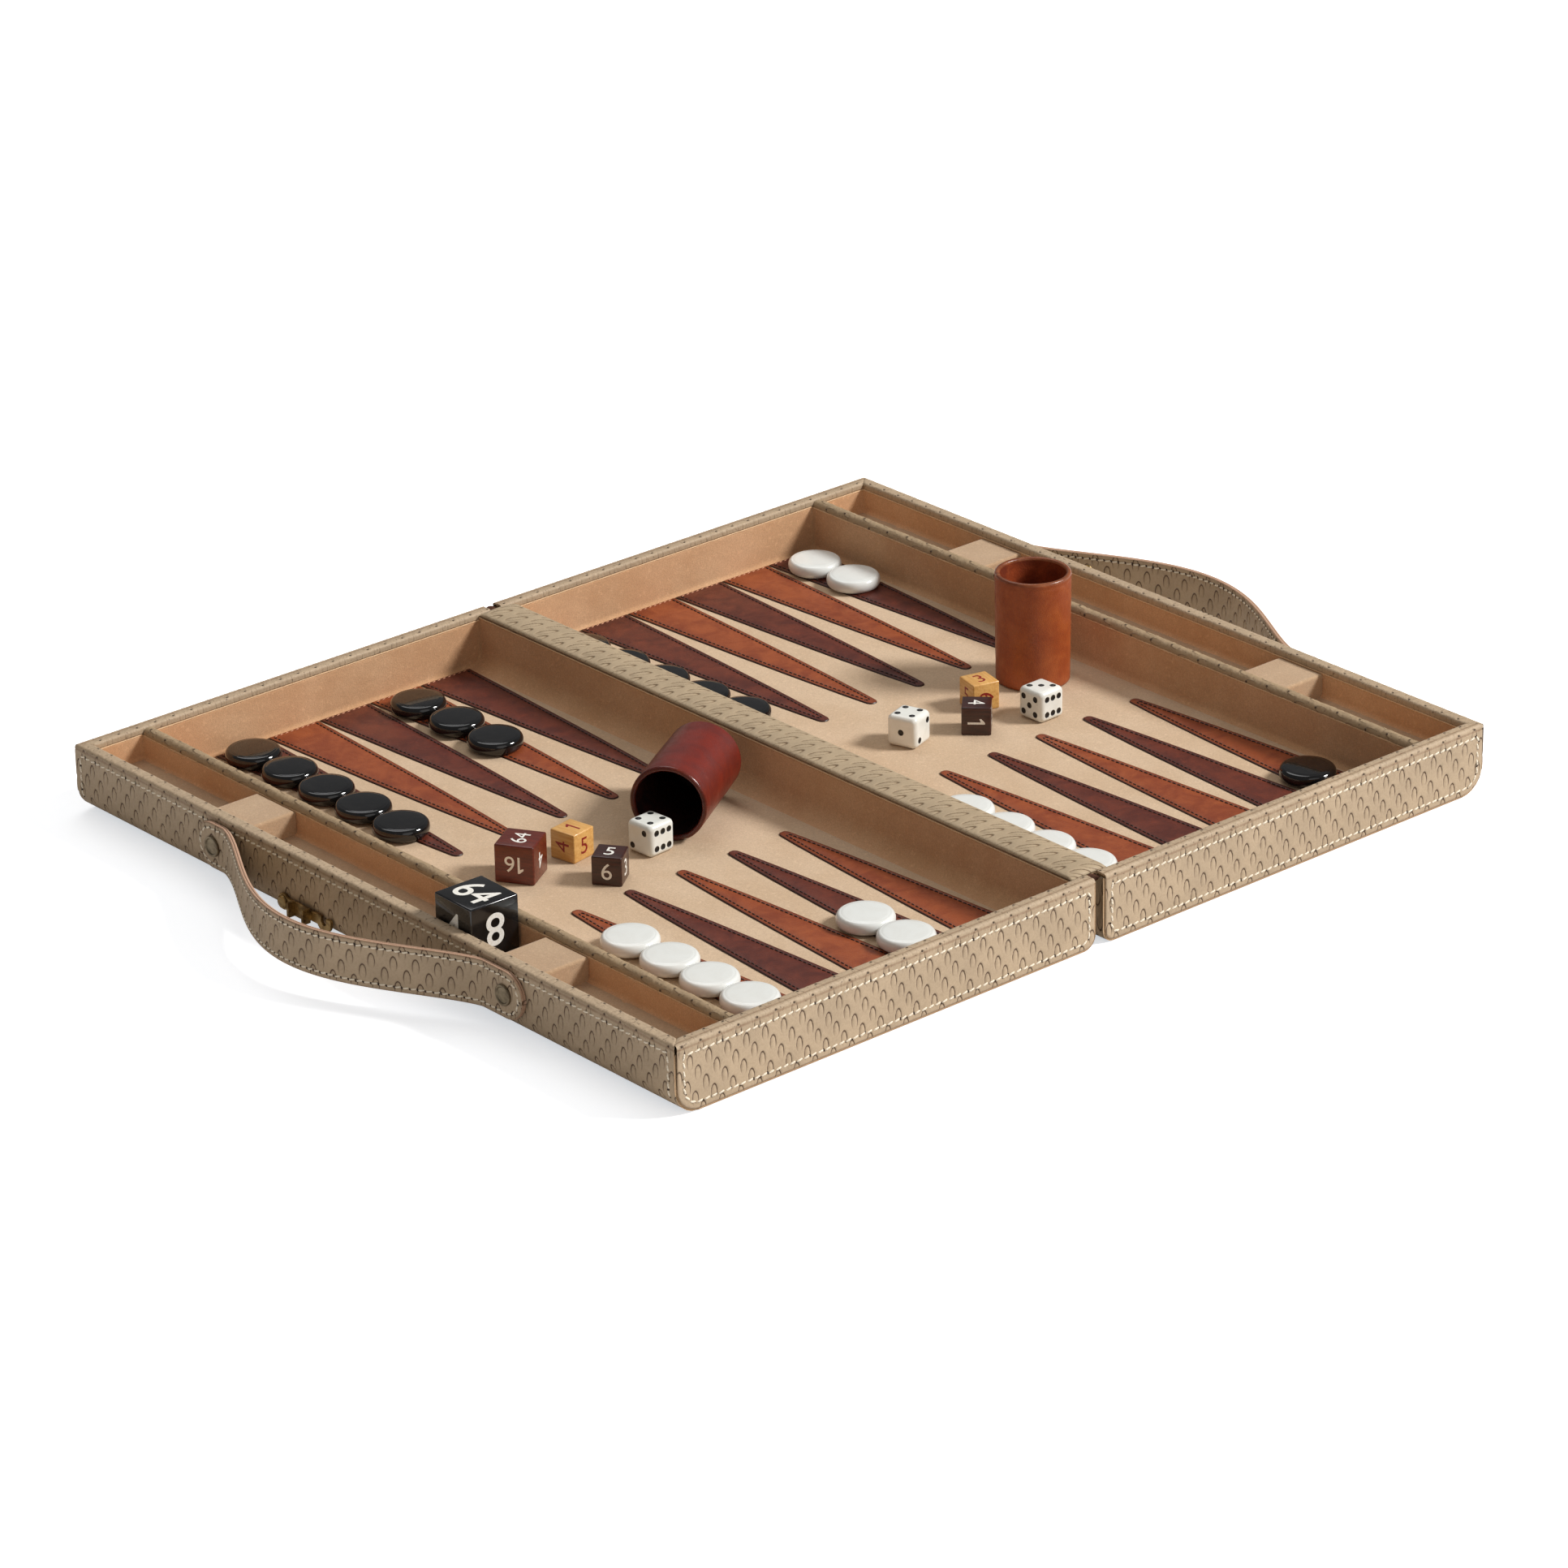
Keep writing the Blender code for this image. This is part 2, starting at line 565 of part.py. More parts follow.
def build_checkers():
    """Fifteen black and fifteen white checkers, in the rows of an opening position."""
    meshes = {colour: checker_mesh(colour) for colour in ("black", "white")}
    made = {"black": 0, "white": 0}
    for colour, x, drift, first, step, count in CHECKER_ROWS:
        for i in range(count):
            made[colour] += 1
            place = (x + drift * i / (count - 1), first + step * i, FLOOR_Z + POINT_RISE + REST_GAP)
            piece = finish(f"checker_{colour}_{made[colour]:02d}", meshes[colour],
                           f"checker_{colour}", place, carrier_of(x))
            spin(piece, CHECKER_STEPS)


def build_cubes():
    """Dice and doubling cubes: cubes with bevelled edges."""
    for name, size, x, y, floor, turn, rounding, material in CUBES:
        cube = box((-size / 2, size / 2), (-size / 2, size / 2), (0, size))
        piece = finish(name, to_mesh(name, cube), material, (x, y, floor + REST_GAP), carrier_of(x))
        piece.rotation_euler = (0, 0, math.radians(turn))
        edges = piece.modifiers.new("Bevel", "BEVEL")
        edges.width = rounding * MM
        edges.segments = 2


def cup_mesh():
    """Cup profile: up the inside, over the lip, down the outside and under the foot."""
    corner_x = CUP_R - CUP_WALL - CUP_CORNER
    lip_r = CUP_WALL / 2
    inside = [(0, CUP_BASE)] + arc(corner_x, CUP_BASE + CUP_CORNER, CUP_CORNER, -90, 0, 2)
    lip = arc(CUP_R - lip_r, CUP_H - lip_r, lip_r, 180, 0, 4)
    foot = arc(CUP_R - CUP_FOOT, CUP_FOOT, CUP_FOOT, 0, -90, 3)
    return turned_mesh("cup", inside + lip + foot + [(0, 0)])


def build_cups():
    """One cup stands and one lies on its side; the lying one's foot points away."""
    x, y = CUP_STANDING
    foot_z = FLOOR_Z + REST_GAP
    tip_axis = axis_empty("axis_cup_tip", (x, y + CUP_R, foot_z + TIP_LIFT))
    tip_axis.parent = RIGHT_HALF
    tip_axis.matrix_parent_inverse = Matrix.Translation(-RIGHT_HALF.location)
    standing = finish("cup_standing", cup_mesh(), "leather_tan", (x, y, foot_z), tip_axis)
    spin(standing, CUP_STEPS)
    x, y, heading = CUP_LYING
    turn = math.radians(heading)
    foot = (x + CUP_H * math.cos(turn), y + CUP_H * math.sin(turn), foot_z + CUP_R)
    lying = finish("cup_lying", cup_mesh(), "leather_oxblood", foot)
    lying.rotation_euler = (0, -math.pi / 2, turn)
    spin(lying, CUP_STEPS)


def build_set():
    for side, word in ((-1, "left"), (1, "right")):
        build_shell(side, word)
        build_cover(side, word)
        build_lining(side, word)
        build_field(side, word)
        build_divider(side, word)
        build_strap(side, word)
        build_rivets(side, word)
    build_strip()
    build_latch()
    build_checkers()
    build_cubes()
    build_cups()


build_set()
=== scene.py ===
"""Looks for a leather backgammon set: embossed covers, suede wells, stitched points,
checkers, dice, cups and straps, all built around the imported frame. Lengths below are in
millimetres; mesh data is scaled to metres once, when an object is made."""
import math

import bmesh
import bpy
import numpy as np
from mathutils import Matrix, Vector


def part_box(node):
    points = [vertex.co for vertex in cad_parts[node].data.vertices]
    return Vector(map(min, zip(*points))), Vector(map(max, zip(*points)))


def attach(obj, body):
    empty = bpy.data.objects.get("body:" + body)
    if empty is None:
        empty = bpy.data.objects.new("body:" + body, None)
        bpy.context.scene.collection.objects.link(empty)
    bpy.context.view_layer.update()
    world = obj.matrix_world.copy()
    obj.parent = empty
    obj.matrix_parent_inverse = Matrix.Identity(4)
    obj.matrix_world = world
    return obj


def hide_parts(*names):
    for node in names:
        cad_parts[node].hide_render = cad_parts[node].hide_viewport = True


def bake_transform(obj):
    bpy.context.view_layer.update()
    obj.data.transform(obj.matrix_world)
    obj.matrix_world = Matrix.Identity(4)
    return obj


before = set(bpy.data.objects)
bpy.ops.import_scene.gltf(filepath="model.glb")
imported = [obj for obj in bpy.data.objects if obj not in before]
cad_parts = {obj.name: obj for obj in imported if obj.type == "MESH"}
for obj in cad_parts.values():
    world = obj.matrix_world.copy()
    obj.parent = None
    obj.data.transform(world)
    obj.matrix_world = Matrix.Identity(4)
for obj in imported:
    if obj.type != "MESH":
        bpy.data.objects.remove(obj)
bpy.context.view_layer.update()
MM = 0.001


def box_mm(node):
    """Lowest and highest corner of a CAD node."""
    low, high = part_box(node)
    return np.array(low) / MM, np.array(high) / MM


# ---- case: driving dimensions come from the frame -----------------------------------------
HALF_GAP = box_mm("cover_right")[0][0]  # hinge plane to the spine face of a half
CASE_X, CASE_Y, RIM_Z = box_mm("cover_right")[1]
FIELD_HIGH = box_mm("field_right")[1]
DIVIDER_LOW, DIVIDER_HIGH = box_mm("divider_right")
DIVIDER_NEAR, DIVIDER_FAR = DIVIDER_LOW[0], DIVIDER_HIGH[0]
STRIP_LOW, STRIP_HIGH = box_mm("hinge_strip")
SPINE_TOP = box_mm("lining_right")[1][2]
POINT_RISE = 0.8
FLOOR_Z = FIELD_HIGH[2] - POINT_RISE
SPINE_FACE = STRIP_HIGH[0]              # suede face of the spine wall, from the hinge plane
END_FACE = FIELD_HIGH[1] + 0.3          # suede face of an end wall
SIDE_FACE = CASE_X - 7.3                # suede face of the outer side wall
TRAY_Z = 19.8
BLOCK_Z = 32.0
BLOCKS = ((96.2, 126.7), (-124.5, -94.0))
SIDE_RADIUS, SPINE_RADIUS = 14.0, 7.0

# ---- leather --------------------------------------------------------------------------
PANEL_THICK = 0.9                       # end panels lie on the wrap's cut ends
PANEL_INSET = 1.2
SHEET = 1.0
RIM_ROUND = 1.9                         # outer edge of a rim
TURN_IN = SPINE_TOP - 1.5               # where the leather stops inside a rim
STEP = 0.58                             # mesh spacing where the embossing is real relief
EMBOSS_PITCH, EMBOSS_ROW, EMBOSS_SHIFT = 11.1, 6.2, 4.6
LOOP_A, LOOP_B = 1.7, 3.9               # half axes of an embossed loop
LOOP_EDGE = 1.22                        # share of the axes at which the leather is level again
FADE = (-0.95, 0.3)                     # where a loop is open, as shares of its half length
STRIP_FADE = (-1.25, -0.5)              # nearly closed loops on the hinge strip
EMBOSS_DEPTH = 0.42
CREASE_DEPTH = 0.3
MITRE_WIDTH, MITRE_DIP = 0.6, 0.35
STITCH_INSET = 4.6
STITCH_PITCH = 4.2
THREAD_R = 0.52

# ---- points ---------------------------------------------------------------------------
POINT_FIRST, POINT_PITCH, POINT_HALF = 36.5, 32.6, 16.1
POINT_TIP_Y, POINT_TIP_R = 42.8, 3.1
POINT_LENGTH = END_FACE - 0.9 - POINT_TIP_Y
POINTS_PER_END = 6
POINT_STITCH = 2.65                     # stitch line inside the edge of a point

# ---- straps and latch -------------------------------------------------------------------
STRAP_LOW, STRAP_HIGH = box_mm("strap_right")
STRAP_END = STRAP_HIGH[1]
STRAP_THICK = 2.7
STRAP_HALF = (STRAP_HIGH[2] - STRAP_LOW[2]) / 2
STRAP_Z = (STRAP_HIGH[2] + STRAP_LOW[2]) / 2
STRAP_GAP = 0.3                         # a strap's back clears the wall by this much
STRAP_STITCH = 2.9                      # stitch line inside the edge of a strap
STRAP_GRAIN = 60                        # place of the straps in the pattern of loops
# lines over a cut edge: distance from the back face, and how far each stands past the width
STRAP_EDGE = ((2.2, -0.064), (1.5, 0.036), (1.35, -0.25), (1.2, 0.036), (0.5, -0.064))
BOW, BOW_MID, BOW_SPAN, BOW_POWER = 39.0, 4.0, 99.0, 1.3
RIVET_SPREAD = 1.2                      # the rolled rim reaches past the turned shank
PIVOT_Y, PIVOT_Z = 57.0, 10.0
HOOK_GAP = 0.55                         # clears the raised stitches that the hook swings past
HOOK_REACH = 31.3                       # from the pivot to the middle of the hook's notch
HOOK_BOSS, HOOK_NOSE, HOOK_BAR, HOOK_BEAK, HOOK_NOTCH = 4.2, 5.4, 2.6, 2.2, 1.95
HOOK_THICK = 1.9
LUGS = (8.6, 21.4)                      # where the raised bracket on the bar starts and ends
LUG_THICK, LUG_RISE, LUG_HALF = 1.5, 4.6, 3.9

# ---- playing pieces --------------------------------------------------------------------
CHECKERS = 15
CHECKER_EDGE = 2.4                      # width of the rounded edge of a checker
DIE_ROUND = 2.9
PIP_DISH = 0.55
PIP_R, PIP_SPREAD = 0.098, 0.245        # radius and distance from the middle, per die size
INLAY = 0.06                            # half the thickness of an inlaid numeral
CUP_R, CUP_HEIGHT, CUP_WALL, CUP_BASE = 19.55, 59.5, 2.6, 3.0
CUP_HEADING = math.radians(32)          # of the lying cup, from its mouth to its foot
TINY = 0.001                            # radius of a turned profile where it meets its axis

FLOOR_LIFT = 0.63                       # keeps the floor white between soft shadows

rng = np.random.default_rng(7)


# ========================================================================== mesh helpers
def link_object(name, data):
    made = bpy.data.objects.new(name, data)
    bpy.context.scene.collection.objects.link(made)
    return made


def put(piece, spot, turn=(0, 0, 0)):
    """Moves a piece to a place in millimetres, turned by angles in radians."""
    piece.location = Vector(spot) * MM
    piece.rotation_euler = turn


def declare(piece, body=None, node=None):
    """Ties a piece to its body and hides the CAD node it replaces."""
    if body:
        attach(piece, body)
    if node:
        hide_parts(node)
    return piece


def make_object(name, verts, faces, materials, uv=None, slots=None, smooth=True, values=None):
    """Mesh object from millimetre points, with per-vertex UVs and float values."""
    mesh = bpy.data.meshes.new(name)
    mesh.from_pydata((np.asarray(verts, float) * MM).tolist(), [], faces)
    for material in materials:
        mesh.materials.append(material)
    if slots is not None:
        mesh.polygons.foreach_set("material_index", np.asarray(slots, np.int32))
    if uv is not None:
        layer = mesh.uv_layers.new(name="grain")
        corner = np.zeros(len(mesh.loops), np.int32)
        mesh.loops.foreach_get("vertex_index", corner)
        layer.data.foreach_set("uv", np.asarray(uv, np.float32)[corner].ravel())
    for key, data in (values or {}).items():
        attribute = mesh.attributes.new(key, "FLOAT", "POINT")
        attribute.data.foreach_set("value", np.asarray(data, np.float32))
    if smooth:
        mesh.shade_smooth()
    mesh.update()
    return link_object(name, mesh)


def weld(piece, reach, outward=True):
    """Joins points that lie together and, if asked, turns all faces outward."""
    bm = bmesh.new()
    bm.from_mesh(piece.data)
    bmesh.ops.remove_doubles(bm, verts=bm.verts, dist=reach * MM)
    if outward:
        bmesh.ops.recalc_face_normals(bm, faces=bm.faces)
    bm.to_mesh(piece.data)
    bm.free()
    return piece


def grid_faces(n, m, closed=False, flip=False):
    """Quads of an n by m grid of points; closed joins the last column to the first."""
    i, j = np.meshgrid(np.arange(n - 1), np.arange(m if closed else m - 1), indexing="ij")
    k = (j + 1) % m
    quads = np.stack([i * m + j, (i + 1) * m + j, (i + 1) * m + k, i * m + k], -1).reshape(-1, 4)
    return (quads[:, ::-1] if flip else quads).tolist()


def stacked(*values):
    """Points, or pairs, from sets of numbers that broadcast together."""
    return np.stack(np.broadcast_arrays(*values), -1)


def padded(values, extra):
    """Values of an outer face, with zeros for the extra columns behind it."""
    return np.concatenate([values, np.zeros((len(values), extra) + values.shape[2:])], 1)


def turned_ring(steps):
    """Cosines and sines of even steps round a circle, as columns."""
    turns = np.arange(steps) * 2 * math.pi / steps
    return np.cos(turns)[:, None], np.sin(turns)[:, None]


class Parts:
    """Collects meshes that end up in one object."""

    def __init__(self):
        self.verts, self.faces, self.slots = [], [], []
        self.uv, self.values, self.count = [], {}, 0

    def add(self, verts, faces, slot=0, uv=None, **values):
        """Adds points and faces. slot is one material number, or an array with one per face."""
        verts = np.asarray(verts, float).reshape(-1, 3)
        self.verts.append(verts)
        self.uv.append(np.zeros((len(verts), 2)) if uv is None else np.asarray(uv).reshape(-1, 2))
        for key in set(self.values) | set(values):
            data = np.asarray(values.get(key, np.zeros(len(verts)))).reshape(-1)
            self.values.setdefault(key, [np.zeros(self.count)] if self.count else []).append(data)
        self.faces += [tuple(int(i) + self.count for i in face) for face in faces]
        self.slots += list(np.ravel(slot)) if np.ndim(slot) else [slot] * len(faces)
        self.count += len(verts)

    def tube(self, rings, flip, slot=0, uv=None, cap=0, **values):
        """Joins closed sections, an n by m grid of points, into a solid with capped ends."""
        n, m = rings.shape[:2]
        first = self.count
        self.add(rings, grid_faces(n, m, closed=True, flip=flip), slot, uv, **values)
        ends = [tuple(range(first, first + m)), tuple(range(self.count - m, self.count))[::-1]]
        self.faces += ends if flip else [end[::-1] for end in ends]
        self.slots += [cap, cap]

    def build(self, name, materials, body=None, slot=None, node=None, smooth=True):
        values = {key: np.concatenate(data) for key, data in self.values.items()}
        piece = make_object(name, np.concatenate(self.verts), self.faces, materials,
                            np.concatenate(self.uv), self.slots, smooth, values)
        return declare(piece, body, node)


def unit(vectors):
    return vectors / np.linalg.norm(vectors, axis=-1, keepdims=True)


def run_lengths(points):
    """Distance along a track from its first point to each point."""
    return np.concatenate([[0], np.cumsum(np.linalg.norm(np.diff(points, axis=0), axis=1))])


def rounded_path(corners, spacing):
    """Points along a polyline of (a, b, radius) corners, at an even spacing, and lengths."""
    dense = []
    for k, (a, b, radius) in enumerate(corners):
        here = np.array((a, b), float)
        if radius == 0 or k in (0, len(corners) - 1):
            dense.append(here)
            continue
        back = unit(np.array(corners[k - 1][:2], float) - here)
        on = unit(np.array(corners[k + 1][:2], float) - here)
        half = math.acos(np.clip(back @ on, -1, 1)) / 2
        middle = here + unit(back + on) * radius / math.sin(half)
        start, end = here + back * radius / math.tan(half), here + on * radius / math.tan(half)
        for t in np.linspace(0, 1, 9):
            dense.append(middle + unit((start - middle) * (1 - t) + (end - middle) * t) * radius)
    dense = np.array(dense)
    lengths = run_lengths(dense)
    s = np.linspace(0, lengths[-1], max(2, int(round(lengths[-1] / spacing)) + 1))
    return np.stack([np.interp(s, lengths, dense[:, 0]), np.interp(s, lengths, dense[:, 1])], -1), s


def path_normals(path):
    """Unit normals on the left of a path's direction."""
    run = unit(np.gradient(path, axis=0))
    return np.stack([-run[:, 1], run[:, 0]], -1)


def spread(low, high, step, crowd=0.0):
    """Even places between two limits; crowd is how far finer steps reach in from both ends."""
    reach = high - low
    t = np.linspace(0, 1, max(2, int(round(reach / step)) + 1))
    if crowd:
        edge = (1 - np.cos(np.linspace(0, math.pi / 2, 14))) * crowd / reach
        inner = t[(t * reach > crowd) & ((1 - t) * reach > crowd)]
        t = np.unique(np.concatenate([inner, edge, 1 - edge]))
    return low + t * reach


def smooth_step(low, high, value):
    t = np.clip((value - low) / (high - low), 0, 1)
    return t * t * (3 - 2 * t)


def bell(value, centre, width):
    return np.exp(-((value - centre) / width) ** 2)


def fractal(u, v, scale, seed, octaves=4):
    """Cheap smooth noise in about -1 to 1, from sums of turned sine waves."""
    source = np.random.default_rng(seed)
    total = np.zeros(np.broadcast(u, v).shape)
    weight = 1.0
    for _ in range(octaves):
        for _ in range(3):
            turn, phase = source.uniform(0, 2 * math.pi, 2)
            wave = (u * math.cos(turn) + v * math.sin(turn)) / scale
            total += weight * np.sin(wave * source.uniform(0.7, 1.3) * 2 * math.pi + phase)
        weight *= 0.55
        scale *= 0.5
    return total / 5


def emboss(u, v, fade=FADE):
    """Depth, 0 to 1, of the pressed loops at surface coordinates in millimetres."""
    depth = np.zeros(np.broadcast(u, v).shape)
    for k in (0, 1):
        rows = (v - k * EMBOSS_ROW) / (2 * EMBOSS_ROW)
        dv = (rows - np.floor(rows) - 0.5) * 2 * EMBOSS_ROW
        cells = (u - (2 * np.floor(rows) + k) * EMBOSS_SHIFT) / EMBOSS_PITCH
        du = (cells - np.floor(cells) - 0.5) * EMBOSS_PITCH
        f = np.sqrt((du / LOOP_A) ** 2 + (dv / LOOP_B) ** 2)
        arch = smooth_step(fade[0] * LOOP_B, fade[1] * LOOP_B, dv)
        shape = np.where(f < 1, f ** 4, 1 - smooth_step(1.0, LOOP_EDGE, f))
        depth = np.maximum(depth, arch * shape)
    return depth


# ============================================================================= materials
class Wire:
    """A number in a node tree. Arithmetic with it adds math nodes."""

    def __init__(self, look, socket):
        self.look, self.socket = look, socket

    def op(self, operation, other=None):
        return self.look.math(operation, self, other)

    def __add__(self, other):
        return self.op("ADD", other)

    def __sub__(self, other):
        return self.op("SUBTRACT", other)

    def __rsub__(self, other):
        return self.look.math("SUBTRACT", other, self)

    def __mul__(self, other):
        return self.op("MULTIPLY", other)

    def __truediv__(self, other):
        return self.op("DIVIDE", other)

    def __pow__(self, other):
        return self.op("POWER", other)

    def __abs__(self):
        return self.op("ABSOLUTE")

    def remap(self, low, high, to_low=0.0, to_high=1.0, smooth=True):
        made = self.look.node("ShaderNodeMapRange")
        made.interpolation_type = "SMOOTHSTEP" if smooth else "LINEAR"
        self.look.link(self, made.inputs["Value"])
        limits = {"From Min": low, "From Max": high, "To Min": to_low, "To Max": to_high}
        for key, number in limits.items():
            made.inputs[key].default_value = number
        return Wire(self.look, made.outputs["Result"])


class Look:
    """A material under construction: short names for the nodes that it needs."""

    def __init__(self, name):
        self.material = bpy.data.materials.new(name)
        self.material.use_nodes = True
        self.tree = self.material.node_tree
        self.shader = self.tree.nodes["Principled BSDF"]
        self.place = self.node("ShaderNodeTexCoord").outputs["Object"]

    def node(self, kind, **settings):
        made = self.tree.nodes.new(kind)
        for key, value in settings.items():
            setattr(made, key, value)
        return made

    def link(self, source, socket):
        """Feeds a socket from a wire, another socket or a plain value."""
        source = source.socket if isinstance(source, Wire) else source
        if isinstance(source, bpy.types.NodeSocket):
            self.tree.links.new(source, socket)
        elif source is not None:
            socket.default_value = source

    def math(self, operation, first, second):
        made = self.node("ShaderNodeMath", operation=operation)
        self.link(first, made.inputs[0])
        self.link(second, made.inputs[1])
        return Wire(self, made.outputs[0])

    def noise(self, size_mm, detail=3.0, rough=0.55, stretch=None, distortion=0.0):
        """Noise whose features are about size_mm wide."""
        place = self.place
        if stretch:
            mapping = self.node("ShaderNodeMapping")
            self.link(place, mapping.inputs["Vector"])
            mapping.inputs["Scale"].default_value = stretch
            place = mapping.outputs["Vector"]
        made = self.node("ShaderNodeTexNoise")
        self.link(place, made.inputs["Vector"])
        made.inputs["Scale"].default_value = 1 / (size_mm * MM)
        made.inputs["Detail"].default_value = detail
        made.inputs["Roughness"].default_value = rough
        made.inputs["Distortion"].default_value = distortion
        return Wire(self, made.outputs["Fac"])

    def cells(self, size_mm):
        """Distance to the middle of cells about size_mm wide."""
        made = self.node("ShaderNodeTexVoronoi")
        self.link(self.place, made.inputs["Vector"])
        made.inputs["Scale"].default_value = 1 / (size_mm * MM)
        return Wire(self, made.outputs["Distance"])

    def attribute(self, name):
        return Wire(self, self.node("ShaderNodeAttribute", attribute_name=name).outputs["Fac"])

    def mix(self, share, first, second):
        made = self.node("ShaderNodeMix", data_type="RGBA")
        self.link(share, made.inputs[0])
        self.link(first, made.inputs[6])
        self.link(second, made.inputs[7])
        return made.outputs[2]

    def bump(self, height, depth_mm, strength=1.0):
        made = self.node("ShaderNodeBump")
        made.inputs["Distance"].default_value = depth_mm * MM
        made.inputs["Strength"].default_value = strength
        self.link(height, made.inputs["Height"])
        return made.outputs["Normal"]

    def finish(self, colour, roughness, normal=None, **inputs):
        inputs.update(Base_Color=colour, Roughness=roughness, Normal=normal)
        for key, value in inputs.items():
            self.link(value, self.shader.inputs[key.replace("_", " ")])
        return self.material


def srgb(red, green, blue):
    """Linear colour with alpha from 0 to 255 values as they look on a screen."""
    def linear(value):
        value /= 255
        return value / 12.92 if value <= 0.04045 else ((value + 0.055) / 1.055) ** 2.4
    return (linear(red), linear(green), linear(blue), 1.0)


def shade(colour, share):
    """A linear colour made darker or lighter."""
    return [min(1, c * share) for c in colour[:3]] + [1]


def emboss_nodes(look, fade):
    """(pressed depth, thin outline, tip dots) of the loops, from the grain UVs in mm."""
    split = look.node("ShaderNodeSeparateXYZ")
    look.link(look.node("ShaderNodeUVMap", uv_map="grain").outputs["UV"], split.inputs[0])
    u, v = Wire(look, split.outputs["X"]), Wire(look, split.outputs["Y"])
    layers = []
    for k in (0, 1):
        rows = (v - k * EMBOSS_ROW) / (2 * EMBOSS_ROW)
        whole = rows.op("FLOOR")
        dv = (rows - whole - 0.5) * (2 * EMBOSS_ROW)
        cell = (u - (whole * 2.0 + k) * EMBOSS_SHIFT) / EMBOSS_PITCH
        du = (cell - cell.op("FLOOR") - 0.5) * EMBOSS_PITCH
        f = (abs(du / LOOP_A) ** 2.0 + abs(dv / LOOP_B) ** 2.0).op("SQRT")
        arch = dv.remap(fade[0] * LOOP_B, fade[1] * LOOP_B)
        pressed = f.op("MINIMUM", 1.0) ** 4.0 * f.remap(LOOP_EDGE, 1.0) * arch
        outline = abs(f - 1.0).remap(0.2, 0.0) * arch
        away = (abs(du) ** 2.0 + abs(dv - 0.9 * LOOP_B) ** 2.0).op("SQRT")
        layers.append((pressed, outline, away.remap(0.75, 0.3)))
    return [first.op("MAXIMUM", second) for first, second in zip(*layers)]


def leather_taupe(name, base, shadow, fade=FADE):
    """Pressed calf leather: loops with painted shade in their grooves, hollows and dots, fine pores, cross
    creases on rims and burnished lines.
    """
    look = Look(name)
    depth, outline, dots = emboss_nodes(look, fade)
    pressed, burnish = look.attribute("pressed"), look.attribute("burnish")
    open_share = 1.0 - pressed * 0.68
    cloud, mottle = look.noise(18, 4.0), look.noise(1.1, 3.0)
    speck = look.noise(1.7, 1.0).remap(0.66, 0.74)
    hole = dots * (pressed * 0.9)
    # Painted shade: the outline, hole and depth layers darken the loop grooves, pressed dots and hollows;
    # mottle and speck are tone. The last layer colours the creased lines, and on end panel borders it is
    # partly edge paint and partly painted shade in the joint.
    layers = [(mottle.remap(0.35, 0.75, 0.0, 0.11), shadow), (outline * open_share * 0.9, shadow),
              (hole, shade(shadow, 0.5)), (depth * open_share * 0.22, shadow),
              (speck * (pressed * 0.5), shadow), (burnish * 0.85, srgb(112, 76, 46))]
    colour = look.mix(cloud.remap(0.3, 0.7), base, shade(base, 0.88))
    for share, tint in layers:
        colour = look.mix(share, colour, tint)
    pores = look.cells(0.42) * 0.5 + look.noise(0.3, 2.0)
    creases = look.noise(1.3, 3.0, stretch=(1.0, 1.0, 0.35))
    height = pores * 0.16 - depth * open_share * 0.9
    height = height + creases * pressed * 1.1 + cloud * 0.3 - hole * 1.5
    rough = mottle.remap(0.2, 0.8, 0.5, 0.66, smooth=False)
    return look.finish(colour, rough, look.bump(height, 0.28), Specular_IOR_Level=0.38)


def raw_edge(name, base, dark):
    """Cut leather edge: layered fibres."""
    look = Look(name)
    fibre = look.noise(0.5, 4.0, stretch=(1.0, 1.0, 3.0))
    colour = look.mix(fibre.remap(0.3, 0.7), base, dark)
    return look.finish(colour, 0.72, look.bump(fibre, 0.12), Specular_IOR_Level=0.25)


def suede(name, base, deep):
    """Brushed suede: short fibres, nap that leans in patches, and a soft sheen."""
    look = Look(name)
    nap, fibre = look.noise(34, 3.0, 0.5, distortion=0.3), look.noise(0.7, 5.0, 0.7)
    fleck = look.noise(2.2, 3.0, 0.6).remap(0.55, 0.75, 0.0, 0.45)
    colour = look.mix(nap.remap(0.32, 0.68), base, deep)
    colour = look.mix(fibre.remap(0.36, 0.64, 0.0, 0.4), colour, shade(deep, 0.6))
    colour = look.mix(fleck, colour, shade(base, 1.2))
    height = fibre + look.noise(2.4, 3.0) * 0.6
    return look.finish(colour, 0.93, look.bump(height, 0.22, 0.8), Specular_IOR_Level=0.15,
                       Sheen_Weight=0.25, Sheen_Roughness=0.5)


def glazed_leather(name, base, dark, bright, rough=0.44, grain_mm=0.6, coat=0.03, shine=0.3):
    """Dyed, glazed leather whose colour deepens towards its edges (value 'edge')."""
    look = Look(name)
    cloud, streak = look.noise(14, 4.0, 0.6, distortion=0.6), look.noise(5, 3.0, 0.6)
    colour = look.mix(cloud.remap(0.3, 0.7), base, dark)
    colour = look.mix(streak.remap(0.5, 0.8, 0.0, 0.4), colour, bright)
    colour = look.mix(look.attribute("edge") * 0.85, colour, shade(dark, 0.35))
    height = look.cells(grain_mm) * 0.7 + look.noise(grain_mm * 0.5, 3.0) * 0.4
    gleam = cloud.remap(0.25, 0.75, rough - 0.05, rough + 0.08, smooth=False)
    return look.finish(colour, gleam, look.bump(height, 0.13, 0.8), Coat_Weight=coat,
                       Coat_Roughness=0.22, Specular_IOR_Level=shine)


